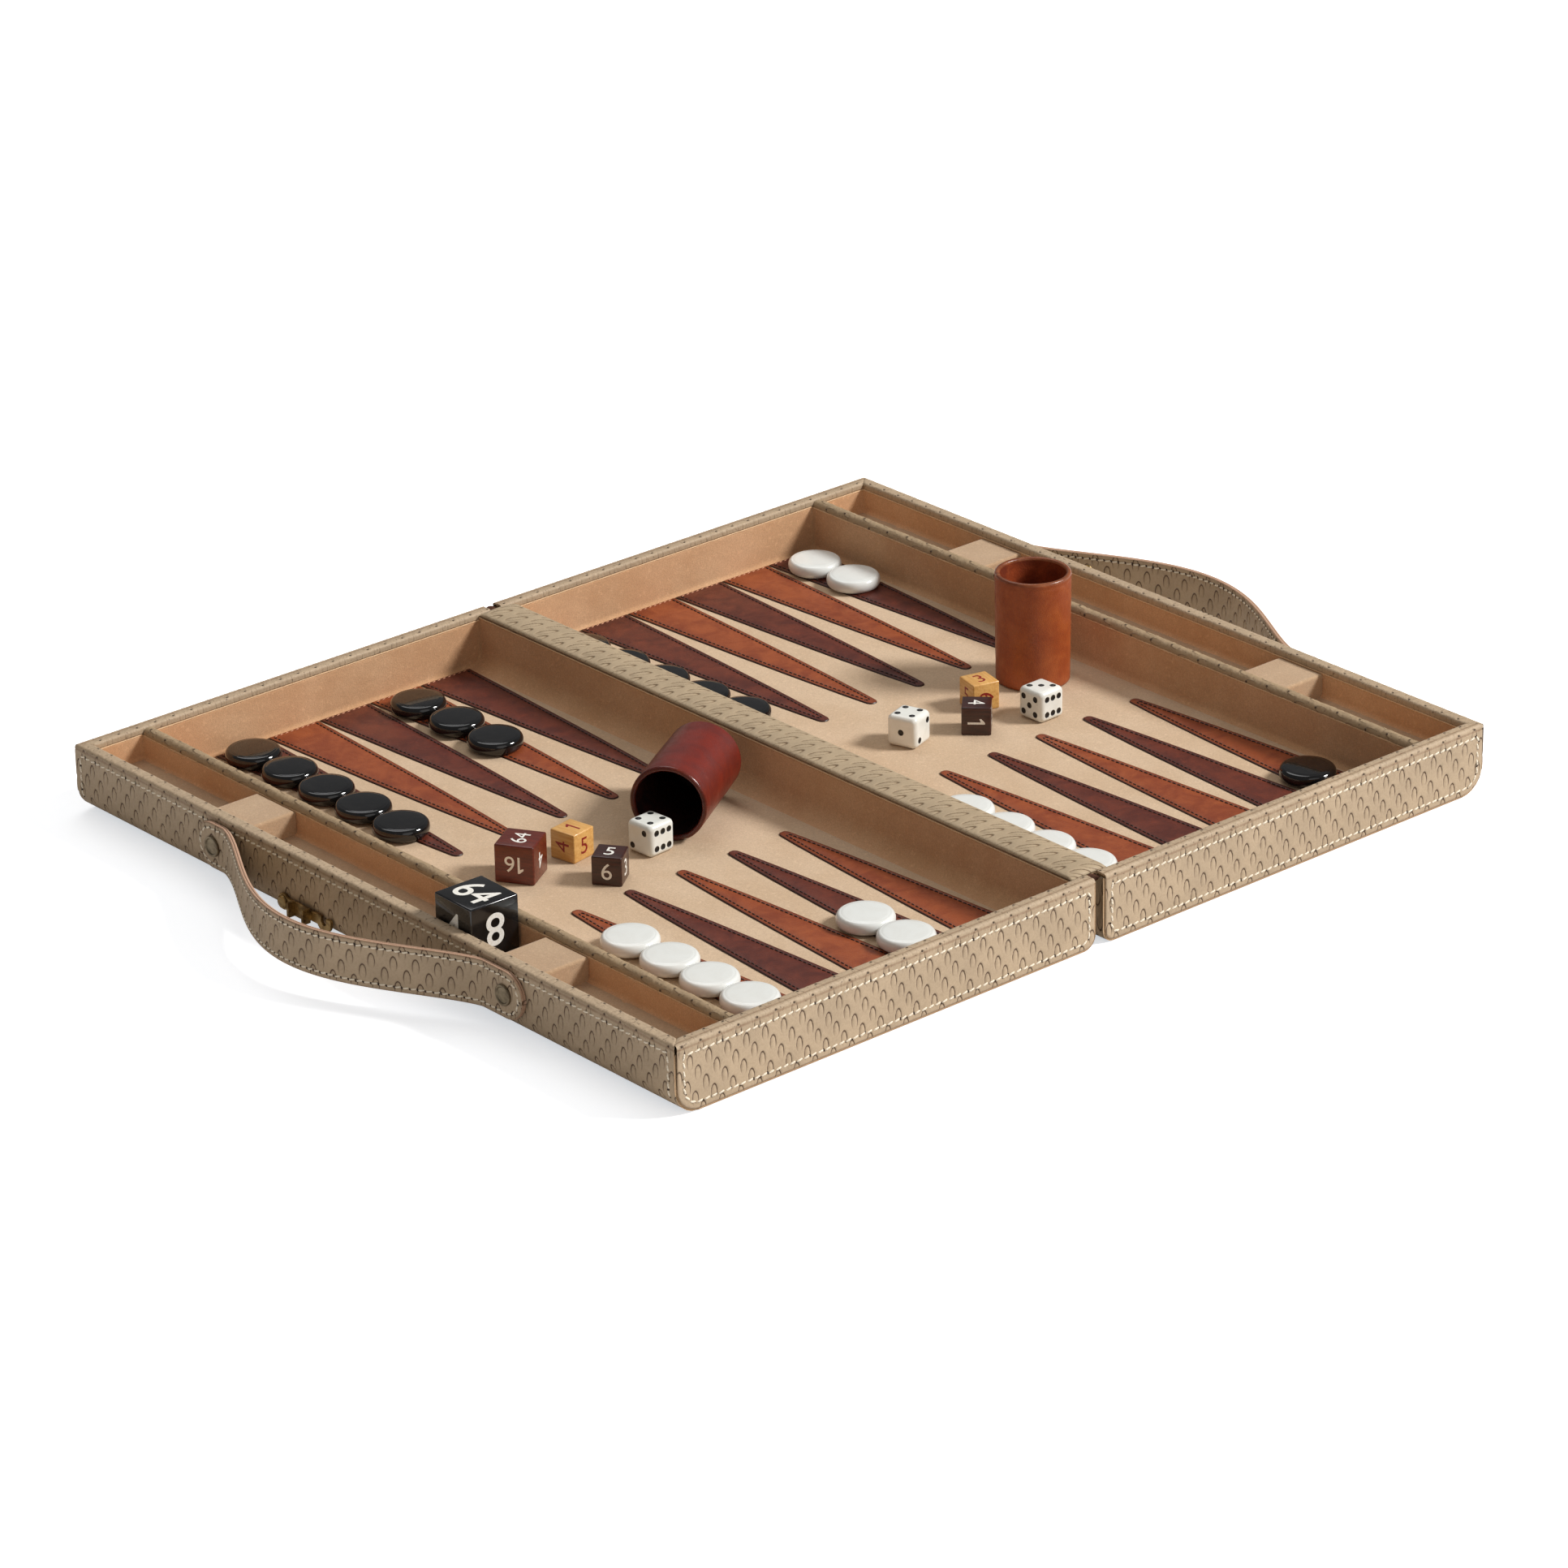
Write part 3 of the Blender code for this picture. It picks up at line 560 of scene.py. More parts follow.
def thread(name, base, dark):
    """Waxed thread: a fine twist along every stitch."""
    look = Look(name)
    wave = look.node("ShaderNodeTexWave", wave_type="BANDS", bands_direction="DIAGONAL")
    look.link(look.place, wave.inputs["Vector"])
    wave.inputs["Scale"].default_value = 420
    twist = Wire(look, wave.outputs["Fac"])
    colour = look.mix(twist.remap(0.0, 0.5, 0.35, 0.0), base, dark)
    return look.finish(colour, 0.6, look.bump(twist, 0.08))


def gloss(name, base, tint, rough=0.08, cloud_mm=9, coat=0.4):
    """Cast resin: faint clouds in the colour and hair scratches in the gloss."""
    look = Look(name)
    cloud = look.noise(cloud_mm, 4.0, 0.6, distortion=1.0)
    scratch = look.noise(0.8, 4.0, 0.7, stretch=(1, 0.2, 1))
    gleam = scratch.remap(0.3, 0.8, rough * 0.8, rough * 1.9, smooth=False)
    return look.finish(look.mix(cloud.remap(0.35, 0.7), base, tint), gleam,
                       look.bump(look.noise(6, 2.0), 0.02, 0.3), Coat_Weight=coat,
                       Coat_Roughness=0.04)


def varnished_wood(name, base, dark):
    """Fine straight-grained wood under varnish."""
    look = Look(name)
    grain = look.noise(1.4, 4.0, 0.6, stretch=(1.0, 0.12, 1.0), distortion=0.4)
    pores = look.noise(0.25, 2.0, 0.5, stretch=(1.0, 0.08, 1.0))
    colour = look.mix(grain.remap(0.3, 0.7), base, dark)
    colour = look.mix(pores.remap(0.6, 0.72, 0.0, 0.5), colour, shade(dark, 0.5))
    gleam = grain.remap(0.2, 0.8, 0.26, 0.4, smooth=False)
    return look.finish(colour, gleam, look.bump(grain * 0.3 - pores, 0.05, 0.6), Coat_Weight=0.35,
                       Coat_Roughness=0.12)


def raw_wood(name, base, dark):
    """Unfinished poplar board of the hidden trays."""
    look = Look(name)
    grain = look.noise(3.0, 5.0, 0.6, stretch=(1.0, 0.05, 1.0), distortion=0.5)
    return look.finish(look.mix(grain.remap(0.3, 0.7), base, dark), 0.75, look.bump(grain, 0.1))


def metal(name, base, dark, rough):
    """Aged metal: bright where rubbed, dull brown in patches."""
    look = Look(name)
    patina = look.noise(7, 4.0, 0.6, distortion=0.4)
    brushed = look.noise(0.3, 3.0, 0.6, stretch=(1.0, 0.1, 1.0))
    gleam = patina.remap(0.3, 0.7, rough, rough + 0.22, smooth=False) + brushed * 0.1
    return look.finish(look.mix(patina.remap(0.35, 0.68), base, dark), gleam,
                       look.bump(brushed, 0.012, 0.4), Metallic=1.0)


def paint(name, base, dark, rough=0.4):
    """Edge paint, numerals, pips and the painted shade of stitch holes: matt colour with slight unevenness.
    """
    look = Look(name)
    patch = look.noise(0.9, 3.0)
    return look.finish(look.mix(patch.remap(0.35, 0.7), base, dark), rough,
                       look.bump(patch, 0.03, 0.5))


def studio_floor():
    """White floor that glows a little for the camera, so its soft shadows stay pale."""
    look = Look("studio_floor")
    tone = look.noise(400, 2.0).remap(0.3, 0.7)
    colour = look.mix(tone, (0.93, 0.93, 0.94, 1), (0.91, 0.91, 0.92, 1))
    seen = Wire(look, look.node("ShaderNodeLightPath").outputs["Is Camera Ray"])
    return look.finish(colour, 0.85, Specular_IOR_Level=0.1, Emission_Color=(0.9, 0.95, 1.0, 1),
                       Emission_Strength=seen * FLOOR_LIFT)


# The second colour of each taupe leather is painted shade for its loop grooves, hollows and dots; it also
# tints the mottle.
TAUPE = leather_taupe("leather_taupe", srgb(182, 161, 134), srgb(66, 43, 26))
TAUPE_STRIP = leather_taupe("leather_taupe_strip", srgb(178, 159, 131), srgb(118, 95, 70), STRIP_FADE)
TAUPE_ROLL = leather_taupe("leather_taupe_roll", srgb(168, 145, 114), srgb(66, 47, 32))
CUT_EDGE = raw_edge("leather_cut_edge", srgb(192, 164, 130), srgb(150, 118, 86))
PINK_EDGE = raw_edge("strap_cut_edge", srgb(196, 164, 140), srgb(164, 128, 104))
DARK_EDGE = paint("edge_paint", srgb(106, 70, 44), srgb(76, 48, 30))
SUEDE = suede("suede", srgb(207, 181, 151), srgb(199, 171, 139))
SUEDE_TRAY = suede("suede_tray", srgb(188, 160, 129), srgb(179, 149, 118))
SUEDE_WALL = suede("suede_wall", srgb(211, 170, 131), srgb(200, 156, 116))
SUEDE_EDGE = raw_edge("suede_cut_edge", srgb(232, 204, 168), srgb(196, 154, 112))
POINT_TAN = glazed_leather("point_tan", srgb(150, 77, 43), srgb(126, 58, 32), srgb(166, 92, 52))
POINT_WINE = glazed_leather("point_burgundy", srgb(104, 50, 36), srgb(80, 36, 28), srgb(126, 58, 40))
POINT_EDGE = paint("point_edge", srgb(58, 30, 20), srgb(36, 18, 12))
THREAD_LIGHT = thread("thread_cream", srgb(238, 228, 208), srgb(170, 150, 120))
THREAD_DARK = thread("thread_dark", srgb(46, 26, 22), srgb(20, 12, 10))
THREAD_ROSE = thread("thread_rose", srgb(206, 150, 118), srgb(140, 84, 60))
# Dark discs at the ends of stitches: painted shade in the stitch holes.
HOLE_SHADE = paint("stitch_hole_shade", srgb(62, 42, 28), srgb(36, 24, 16), 0.8)
BLACK = gloss("checker_black", srgb(10, 10, 11), srgb(20, 19, 19), 0.07)
IVORY = gloss("checker_ivory", srgb(226, 230, 228), srgb(222, 225, 222), 0.16, 16, 0.25)
DIE_WHITE = gloss("die_white", srgb(229, 231, 226), srgb(223, 224, 217), 0.16, 7, 0.25)
PIP = paint("pip_black", srgb(22, 20, 20), srgb(12, 11, 11), 0.35)
CUBE_BLACK = gloss("cube_black", srgb(14, 14, 15), srgb(24, 24, 25), 0.1)
NUMBER_WHITE = paint("number_white", srgb(240, 240, 236), srgb(226, 224, 214))
NUMBER_RED = paint("number_red", srgb(150, 34, 26), srgb(116, 24, 20))
WOOD_LIGHT = varnished_wood("wood_light", srgb(222, 176, 106), srgb(202, 148, 78))
WOOD_DARK = varnished_wood("wood_dark", srgb(68, 30, 22), srgb(42, 17, 13))
WOOD_RED = varnished_wood("wood_red", srgb(106, 38, 22), srgb(80, 24, 14))
WOOD_RAW = raw_wood("wood_raw", srgb(196, 160, 116), srgb(170, 130, 88))
CUP_TAN = glazed_leather("cup_tan", srgb(160, 80, 36), srgb(142, 64, 26), srgb(176, 98, 50),
                         rough=0.42, grain_mm=0.45, coat=0.1, shine=0.5)
CUP_WINE = glazed_leather("cup_oxblood", srgb(114, 32, 18), srgb(94, 24, 14), srgb(126, 42, 24),
                          rough=0.36, grain_mm=0.5, coat=0.15, shine=0.5)
CUP_RIM_TAN = glazed_leather("cup_rim_tan", srgb(176, 104, 62), srgb(128, 66, 36),
                             srgb(214, 150, 104), rough=0.3, grain_mm=0.8, coat=0.3)
CUP_RIM_WINE = glazed_leather("cup_rim_oxblood", srgb(124, 48, 30), srgb(84, 26, 18),
                              srgb(176, 84, 54), rough=0.25, grain_mm=0.8, coat=0.4)
CUP_IN_TAN = glazed_leather("cup_inside_tan", srgb(150, 66, 30), srgb(104, 40, 18),
                            srgb(176, 88, 46), rough=0.55, grain_mm=0.9, coat=0.0)
CUP_IN_DARK = glazed_leather("cup_inside_dark", srgb(54, 18, 12), srgb(26, 10, 8),
                             srgb(80, 28, 18), rough=0.6, grain_mm=0.9, coat=0.0)
BRONZE = metal("bronze", srgb(146, 134, 112), srgb(112, 100, 82), 0.3)
BRASS = metal("brass", srgb(186, 160, 112), srgb(104, 82, 52), 0.2)
SPINE_DARK = raw_edge("spine_layers", srgb(96, 58, 36), srgb(48, 28, 20))


# ================================================================== threads and stitches
STITCH_ALONG = np.array([-0.5, -0.42, -0.2, 0.2, 0.42, 0.5])
STITCH_ROUND = np.array([0.15, 0.7, 1.0, 1.0, 0.7, 0.15])
STITCH_SIDES = 6


def add_stitches(parts, track, normals, pitch, radius, slot, slant=0.2, share=0.86, hole=None):
    """Stitches along a 3-D track of dense points, each a little capsule half sunk in."""
    lengths = run_lengths(track)
    count = max(1, int(lengths[-1] / pitch))
    centres = (np.arange(count) + 0.5) * lengths[-1] / count

    def at(values, where):
        return np.stack([np.interp(where, lengths, values[:, k]) for k in range(3)], -1)

    half = pitch * share / 2
    place, normal = at(track, centres), unit(at(normals, centres))
    ahead, behind = np.minimum(centres + half, lengths[-1]), np.maximum(centres - half, 0)
    run = unit(at(track, ahead) - at(track, behind))
    lean = slant + rng.normal(0, 0.03, count)
    run = unit(run + unit(np.cross(normal, run)) * lean[:, None])
    side = np.cross(normal, run)
    cos, sin = turned_ring(STITCH_SIDES)
    loop = tuple(range(STITCH_SIDES))
    last = (len(STITCH_ALONG) - 1) * STITCH_SIDES
    faces = grid_faces(len(STITCH_ALONG), STITCH_SIDES, closed=True)
    faces += [loop, tuple(last + k for k in loop)[::-1]]
    for k in range(count):
        along = STITCH_ALONG[:, None, None] * pitch * share * run[k]
        arch = (STITCH_ROUND - 0.75)[:, None, None] * radius * 0.9 * normal[k]
        out = STITCH_ROUND[:, None, None] * radius * (cos * side[k] + 0.75 * sin * normal[k])
        parts.add(place[k] + along + arch + out, faces, slot)
    if hole is None:
        return
    # A flat dark disc at each end of a stitch paints the shade in its hole.
    for k in range(count):
        for end in (-half, half):
            spot = place[k] + run[k] * end + normal[k] * 0.03
            parts.add(spot + radius * 1.15 * (cos * side[k] + 1.3 * sin * run[k]), [loop], hole)


# ===================================================================== embossed coverings
def creased(s, *centres):
    """Strength of the creased lines beside a rim, at distances s over the leather."""
    return np.maximum.reduce([bell(s, centre, 0.42) for centre in centres])


def mitre(across, z, reach, top, face, outer):
    """Ends the top of a rim on the diagonal of a corner, with a slight dip along the joint."""
    limit = face + reach * (outer - 0.4 - face)
    across = np.where(top, np.maximum(across, limit), across)
    near = 1 - np.clip((across - limit) / MITRE_WIDTH, 0, 1)
    return across, np.where(top, z - MITRE_DIP * near * (reach > 0), z)


def side_wrap(side, word):
    """Leather round the outer side: rim, wall and rounded lower edge, with real relief."""
    path, s = rounded_path([(SIDE_FACE, TURN_IN, 0), (SIDE_FACE, RIM_Z, 1.6),
                            (CASE_X, RIM_Z, RIM_ROUND), (CASE_X, 0, SIDE_RADIUS),
                            (CASE_X - SIDE_RADIUS, 0, 0)], STEP)
    half = CASE_Y - PANEL_THICK
    y = spread(-half, half, STEP)
    rim_end = np.argmin(np.abs(path - (CASE_X, RIM_Z - RIM_ROUND)).sum(1))
    v = s[rim_end] - s + RIM_Z - RIM_ROUND
    yy, vv = np.meshgrid(y, v, indexing="ij")
    pressed = smooth_step(RIM_Z - 4.4, RIM_Z - 2.6, vv)
    burnish = creased(vv, RIM_Z - 2.2) * (0.75 + 0.25 * fractal(yy, vv, 9, 3))
    depth = EMBOSS_DEPTH * emboss(side * yy, vv) * (1 - 0.8 * pressed) + CREASE_DEPTH * burnish
    depth += 0.12 * pressed * fractal(yy, vv, 3.0, 5)
    x, z = (path[:, k] - path_normals(path)[:, k] * depth for k in (0, 1))
    reach = np.clip((np.abs(yy) - END_FACE) / (half - END_FACE), 0, 1)
    x, z = mitre(x, z, reach, vv > RIM_Z - 1.0, SIDE_FACE, CASE_X)
    inner, _ = rounded_path([(CASE_X - SIDE_RADIUS, SHEET, 0),
                             (CASE_X - SHEET, SHEET, SIDE_RADIUS - 1),
                             (CASE_X - SHEET, RIM_Z - SHEET, 1),
                             (SIDE_FACE + SHEET, RIM_Z - SHEET, 0.5),
                             (SIDE_FACE + SHEET, TURN_IN, 0)], 6.0)
    back = stacked(side * inner[None, :, 0], y[:, None], inner[None, :, 1])
    extra = len(inner)
    parts = Parts()
    parts.tube(np.concatenate([stacked(side * x, yy, z), back], 1), side > 0, 0,
               padded(stacked(side * yy, vv), extra), 1,
               pressed=padded(pressed, extra), burnish=padded(burnish, extra))
    # bottom and spine wall, in larger steps
    low, t = rounded_path([(CASE_X - SIDE_RADIUS, 0, 0), (HALF_GAP, 0, SPINE_RADIUS),
                           (HALF_GAP, SPINE_TOP, 0)], 1.6)
    inner, _ = rounded_path([(HALF_GAP + SHEET, SPINE_TOP, 0),
                             (HALF_GAP + SHEET, SHEET, SPINE_RADIUS - 1),
                             (CASE_X - SIDE_RADIUS, SHEET, 0)], 6.0)
    ring = np.concatenate([low, inner])
    y = spread(-half, half, 4.0)[:, None]
    v = np.concatenate([v[-1] - t, np.zeros(len(inner))])
    parts.tube(stacked(side * ring[None, :, 0], y, ring[None, :, 1]), side > 0, 0,
               stacked(side * y, v), 1)
    parts.build(f"leather_wrap_{word}", [TAUPE, CUT_EDGE], f"case_{word}", "leather_taupe",
                f"cover_{word}")


def panel_bottom(x):
    """Lower outline of an end panel at a distance from the hinge plane."""
    low, high = HALF_GAP + PANEL_INSET, CASE_X - PANEL_INSET
    spine, outer = SPINE_RADIUS - PANEL_INSET, SIDE_RADIUS - PANEL_INSET
    z = np.full_like(x, PANEL_INSET)
    for radius, inside in ((spine, low + spine - x), (outer, x - (high - outer))):
        z += radius - np.sqrt(np.maximum(radius ** 2 - np.clip(inside, 0, radius) ** 2, 0))
    return z


def end_panel(side, word, way, tag):
    """Leather on an end of a half: face, creased rim and the turn-in, with real relief."""
    x = spread(HALF_GAP + PANEL_INSET, CASE_X - PANEL_INSET, STEP, crowd=SIDE_RADIUS)
    path, s = rounded_path([(CASE_Y, 0, 0), (CASE_Y, RIM_Z, RIM_ROUND), (END_FACE, RIM_Z, 1.4),
                            (END_FACE, TURN_IN, 0)], STEP)
    out = -path_normals(path)
    rim_start = RIM_Z - RIM_ROUND
    bottom = panel_bottom(x)[:, None]
    xx, ss = np.meshgrid(x, s, indexing="ij")
    face = ss < rim_start
    y = np.where(face, CASE_Y, path[:, 0])
    rise = bottom + np.clip(s / rim_start, 0, 1) * (rim_start - bottom)
    z = np.where(face, rise, path[:, 1])
    vv = np.where(face, z, ss)
    pressed = smooth_step(RIM_Z - 4.8, RIM_Z - 2.8, vv)
    near = np.minimum(np.minimum(xx - x[0], x[-1] - xx), z - bottom)
    lines = creased(vv, RIM_Z - 2.6, RIM_Z + 1.9)
    burnish = lines * (0.7 + 0.3 * fractal(xx, vv, 9, 11))
    burnish = burnish * smooth_step(0.0, 1.5, near + 2 * (vv > RIM_Z - 6))
    # Darker along the panel's border: partly its edge paint, partly painted shade in the joint with the
    # wrap.
    burnish = np.maximum(burnish, 0.5 * bell(np.maximum(near, 0), 0, 0.4) * face)
    depth = EMBOSS_DEPTH * emboss(side * way * xx, vv) * (1 - 0.8 * pressed)
    depth = depth * smooth_step(0.3, 1.6, near + 5 * (vv > RIM_Z - 5)) + CREASE_DEPTH * lines
    depth += 0.10 * pressed * fractal(xx, vv, 3.0, 17)
    depth += 0.45 * np.exp(-np.maximum(near, 0) / 0.45) * face
    y = y - out[:, 0] * depth
    z = z - out[:, 1] * depth * ~face
    reach = np.clip((xx - SIDE_FACE) / (CASE_X - SIDE_FACE), 0, 1)
    y, z = mitre(y, z, reach, vv > RIM_Z - 1.0, END_FACE, CASE_Y)
    inner = np.array([(END_FACE + SHEET, TURN_IN), (END_FACE + SHEET, RIM_Z - SHEET),
                      (CASE_Y - PANEL_THICK, RIM_Z - SHEET)])
    back = stacked(side * x[:, None], way * inner[:, 0], inner[:, 1])
    foot = stacked(side * x[:, None], way * (CASE_Y - PANEL_THICK), bottom)
    ring = np.concatenate([stacked(side * xx, way * y, z), back, foot], 1)
    extra = ring.shape[1] - len(s)
    slots = np.zeros((len(x) - 1, ring.shape[1]), int)
    slots[:, len(s):] = 1
    parts = Parts()
    parts.tube(ring, side * way > 0, slots, padded(stacked(side * way * xx, vv), extra), 1,
               pressed=padded(pressed, extra), burnish=padded(burnish, extra))
    parts.build(f"end_panel_{word}_{tag}", [TAUPE, CUT_EDGE], f"case_{word}", "leather_taupe")


def panel_track(side, way):
    """Closed stitch line on an end panel, following its rounded lower corners."""
    low, high = HALF_GAP + STITCH_INSET + 0.4, CASE_X - STITCH_INSET - 0.4
    bottom, top = STITCH_INSET + 0.2, RIM_Z - STITCH_INSET - 1.3
    middle = (low + high) / 2
    path, _ = rounded_path([(middle, top, 0), (high, top, 1.0), (high, bottom, SIDE_RADIUS - 5.5),
                            (low, bottom, SPINE_RADIUS - 2.4), (low, top, 1.0),
                            (middle, top, 0)], 0.8)
    track = stacked(side * path[:, 0], way * (CASE_Y - 0.05), path[:, 1])
    return track, np.tile((0.0, way, 0.0), (len(track), 1))


def wall_tracks(side):
    """Stitch lines on the outer side wall: along the top, and down at both ends."""
    end = CASE_Y - STITCH_INSET - 0.6
    top, low = RIM_Z - STITCH_INSET - 0.2, SIDE_RADIUS - 5
    t = np.linspace(0, 1, 200)
    for start, stop in (((-end, top), (end, top)), ((end, top - 1), (end, low)),
                        ((-end, top - 1), (-end, low))):
        y, z = (start[k] * (1 - t) + stop[k] * t for k in (0, 1))
        drop = np.maximum(SIDE_RADIUS - z, 0)
        x = CASE_X - 0.05 - (SIDE_RADIUS - np.sqrt(SIDE_RADIUS ** 2 - drop ** 2))
        yield stacked(side * x, y, z), np.tile((side, 0.0, 0.0), (len(t), 1))


def case_stitches(side, word):
    parts = Parts()
    for track, normals in (panel_track(side, 1), panel_track(side, -1), *wall_tracks(side)):
        add_stitches(parts, track, normals, STITCH_PITCH, THREAD_R, 0, hole=1)
    parts.build(f"case_stitches_{word}", [THREAD_LIGHT, HOLE_SHADE], f"case_{word}", "leather_taupe")


# ================================================================================= suede
def swept(parts, section, start, stop, across, step=2.5, wave=0.0, seed=0):
    """A section of (across, up) points swept in a straight line, with a slight waviness."""
    start, stop, across = (np.array(v, float) for v in (start, stop, across))
    up = np.array((0.0, 0.0, 1.0))
    length = np.linalg.norm(stop - start)
    t = np.linspace(0, 1, max(2, int(length / step) + 1))
    base = start * (1 - t)[:, None] + stop * t[:, None]
    section = np.asarray(section, float)
    tt, kk = np.meshgrid(t * length, np.arange(len(section)) * 1.7, indexing="ij")
    out = section[:, 0] + wave * fractal(tt, kk, 14, seed)
    rise = section[:, 1] + wave * fractal(tt, kk, 9, seed + 1)
    points = base[:, None] + out[..., None] * across + rise[..., None] * up
    parts.tube(points, np.dot(np.cross(stop - start, across), up) > 0)


def wall_section(top, floor, cove, run_out):
    """Suede on a wall: rounded upper edge, upright face, cove and a short run of floor."""
    face, _ = rounded_path([(0, top, 0), (0.9, top, 0.35), (0.9, floor, cove),
                            (run_out, floor, 0)], 0.9)
    return [*face, (run_out, floor - 1.2), (-0.2, floor - 1.2)]


def edge_section(z):
    """The light cut edge of the suede along the top of a wall."""
    cos, sin = turned_ring(8)
    return np.hstack([0.55 + 0.55 * cos, z + 0.42 * sin])


def suede_basins(side, word):
    """Walls and coves of the playing well and of the side tray, with their cut upper edges."""
    walls, edges = Parts(), Parts()
    end, near = END_FACE + 0.8, SPINE_FACE - 0.9
    low_top, cut_top, well = SPINE_TOP - 1.9, SPINE_TOP - 2.4, FLOOR_Z - 0.2
    well_wave, tray_wave, fine = {"wave": 0.10}, {"wave": 0.08}, {"wave": 0.12, "step": 1.3}

    def along(parts, section, x, out, **look):
        swept(parts, section, (side * x, -END_FACE, 0), (side * x, END_FACE, 0), (side * out, 0, 0),
              **look)

    def across(parts, section, x0, x1, way, **look):
        swept(parts, section, (side * x0, way * end, 0), (side * x1, way * end, 0), (0, -way, 0),
              **look)

    spine = wall_section(SPINE_TOP - 0.6, well, cove=8.5, run_out=11.5)
    divider = wall_section(cut_top, well, cove=3.0, run_out=4.5)
    well_end = wall_section(low_top, well - 0.1, cove=2.5, run_out=4.0)
    tray_end = wall_section(low_top, TRAY_Z, cove=1.6, run_out=3.0)
    along(walls, spine, near, 1, seed=1, **well_wave)
    along(walls, divider, DIVIDER_NEAR + 0.9, -1, seed=3, **well_wave)
    for way in (1, -1):
        cut = edge_section(low_top - 0.1)
        across(walls, well_end, SPINE_FACE, DIVIDER_NEAR, way, seed=5 + way, **well_wave)
        across(walls, tray_end, DIVIDER_FAR, SIDE_FACE, way, seed=9 + way, **tray_wave)
        across(edges, cut, SPINE_FACE, DIVIDER_NEAR - 0.4, way, seed=21 + way, **fine)
        across(edges, cut, DIVIDER_FAR + 0.4, SIDE_FACE, way, seed=25 + way, **fine)
    for top, x, out, seed in ((low_top, SIDE_FACE + 0.8, -1, 13), (cut_top, DIVIDER_FAR - 0.8, 1, 15)):
        along(walls, wall_section(top, TRAY_Z, cove=1.8, run_out=4.0), x, out, seed=seed, **tray_wave)
    for x, out, z, seed in ((SIDE_FACE + 0.8, -1, low_top - 0.1, 31),
                            (near + 0.1, 1, SPINE_TOP - 0.55, 33),
                            (DIVIDER_NEAR + 1.0, -1, cut_top - 0.1, 34),
                            (DIVIDER_FAR - 1.0, 1, cut_top - 0.1, 36)):
        along(edges, edge_section(z), x, out, seed=seed, **fine)
    walls.build(f"suede_walls_{word}", [SUEDE_WALL], f"case_{word}", "suede", f"lining_{word}")
    edges.build(f"suede_edges_{word}", [SUEDE_EDGE], f"case_{word}", "suede")


def soft_slab(parts, x, y, z, rounding, step, swell, seed):
    """A suede-covered slab: flat top with rolled edges, slightly puffed and uneven."""
    profile, _ = rounded_path([(0, z[0], 0), (0, z[1], rounding), (rounding * 2, z[1], 0)], 0.35)
    inset, rise = profile.T

    def axis(low, high):
        flat = spread(low + rounding * 2, high - rounding * 2, step)[1:-1]
        return (np.concatenate([low + inset, flat, high - inset[::-1]]),
                np.concatenate([rise, np.full(len(flat), z[1]), rise[::-1]]))

    (x0, x1), (y0, y1) = sorted(x), sorted(y)
    (xs, zx), (ys, zy) = axis(x0, x1), axis(y0, y1)
    xx, yy = np.meshgrid(xs, ys, indexing="ij")
    middle = np.clip(np.minimum.reduce([xx - x0, x1 - xx, yy - y0, y1 - yy]) / 5, 0, 1)
    zz = np.minimum(zx[:, None], zy) + swell * middle * fractal(xx, yy, 34, seed, 3)
    parts.add(stacked(xx, yy, zz), grid_faces(*xx.shape))


def playing_field(side, word):
    """Suede playing surface, puffed a little between its points."""
    parts = Parts()
    ends, reach = (side * (SPINE_FACE + 8.5), side * (DIVIDER_NEAR - 2.4)), END_FACE - 1.4
    soft_slab(parts, ends, (-reach, reach), (FLOOR_Z - 1.6, FLOOR_Z + 0.05), rounding=0.7, step=2.4,
              swell=0.07, seed=41)
    parts.build(f"suede_field_{word}", [SUEDE], f"case_{word}", "suede", f"field_{word}")


def tray_padding(side, word):
    """Suede floor of the side tray and the two covered spacer blocks."""
    parts = Parts()
    ends, reach = (side * (DIVIDER_FAR + 1.4), side * (SIDE_FACE - 1.4)), END_FACE - 1.4
    soft_slab(parts, ends, (-reach, reach), (TRAY_Z - 1, TRAY_Z + 0.04), rounding=0.6, step=2.6,
              swell=0.05, seed=43)
    ends = (side * (DIVIDER_FAR + 0.35), side * (SIDE_FACE - 0.2))
    for k, span in enumerate(BLOCKS):
        soft_slab(parts, ends, span, (TRAY_Z - 0.4, BLOCK_Z), rounding=1.5, step=2.0, swell=0.12,
                  seed=45 + k)
    parts.build(f"tray_suede_{word}", [SUEDE_TRAY], f"case_{word}", "suede")


def divider_roll(side, word):
    """Core of the divider with a wrinkled leather roll over its top."""
    top, neck, waist, foot = DIVIDER_HIGH[2], SPINE_TOP - 2.2, SPINE_TOP - 2.6, SPINE_TOP - 6
    bend = (DIVIDER_FAR - DIVIDER_NEAR) / 2 * 0.92
    half = [(DIVIDER_NEAR + 0.9, foot, 0), (DIVIDER_NEAR + 0.9, waist, 0.5),
            (DIVIDER_NEAR + 0.1, neck, 0.4), (DIVIDER_NEAR + 0.1, top, bend)]
    mirror = [(DIVIDER_NEAR + DIVIDER_FAR - x, z, radius) for x, z, radius in half[::-1]]
    path, s = rounded_path(half + mirror, 0.55)
    yy, ss = np.meshgrid(spread(-END_FACE + 0.3, END_FACE - 0.3, 0.8), s, indexing="ij")
    wrinkle = 1.3 * fractal(yy, ss * 0.35, 4.5, 51) + 0.6 * fractal(yy, ss * 0.3, 1.9, 52)
    rise = 0.20 * wrinkle + 0.12 * emboss(ss, yy * 0.9)
    x, z = (path[:, k] + path_normals(path)[:, k] * rise for k in (0, 1))
    parts = Parts()
    parts.tube(stacked(side * x, yy, z), side < 0, 0, stacked(ss, yy * 0.9),
               pressed=np.full(ss.shape, 0.85), burnish=np.zeros(ss.shape))
    parts.build(f"divider_roll_{word}", [TAUPE_ROLL], f"case_{word}", "leather_taupe",
                f"divider_{word}")


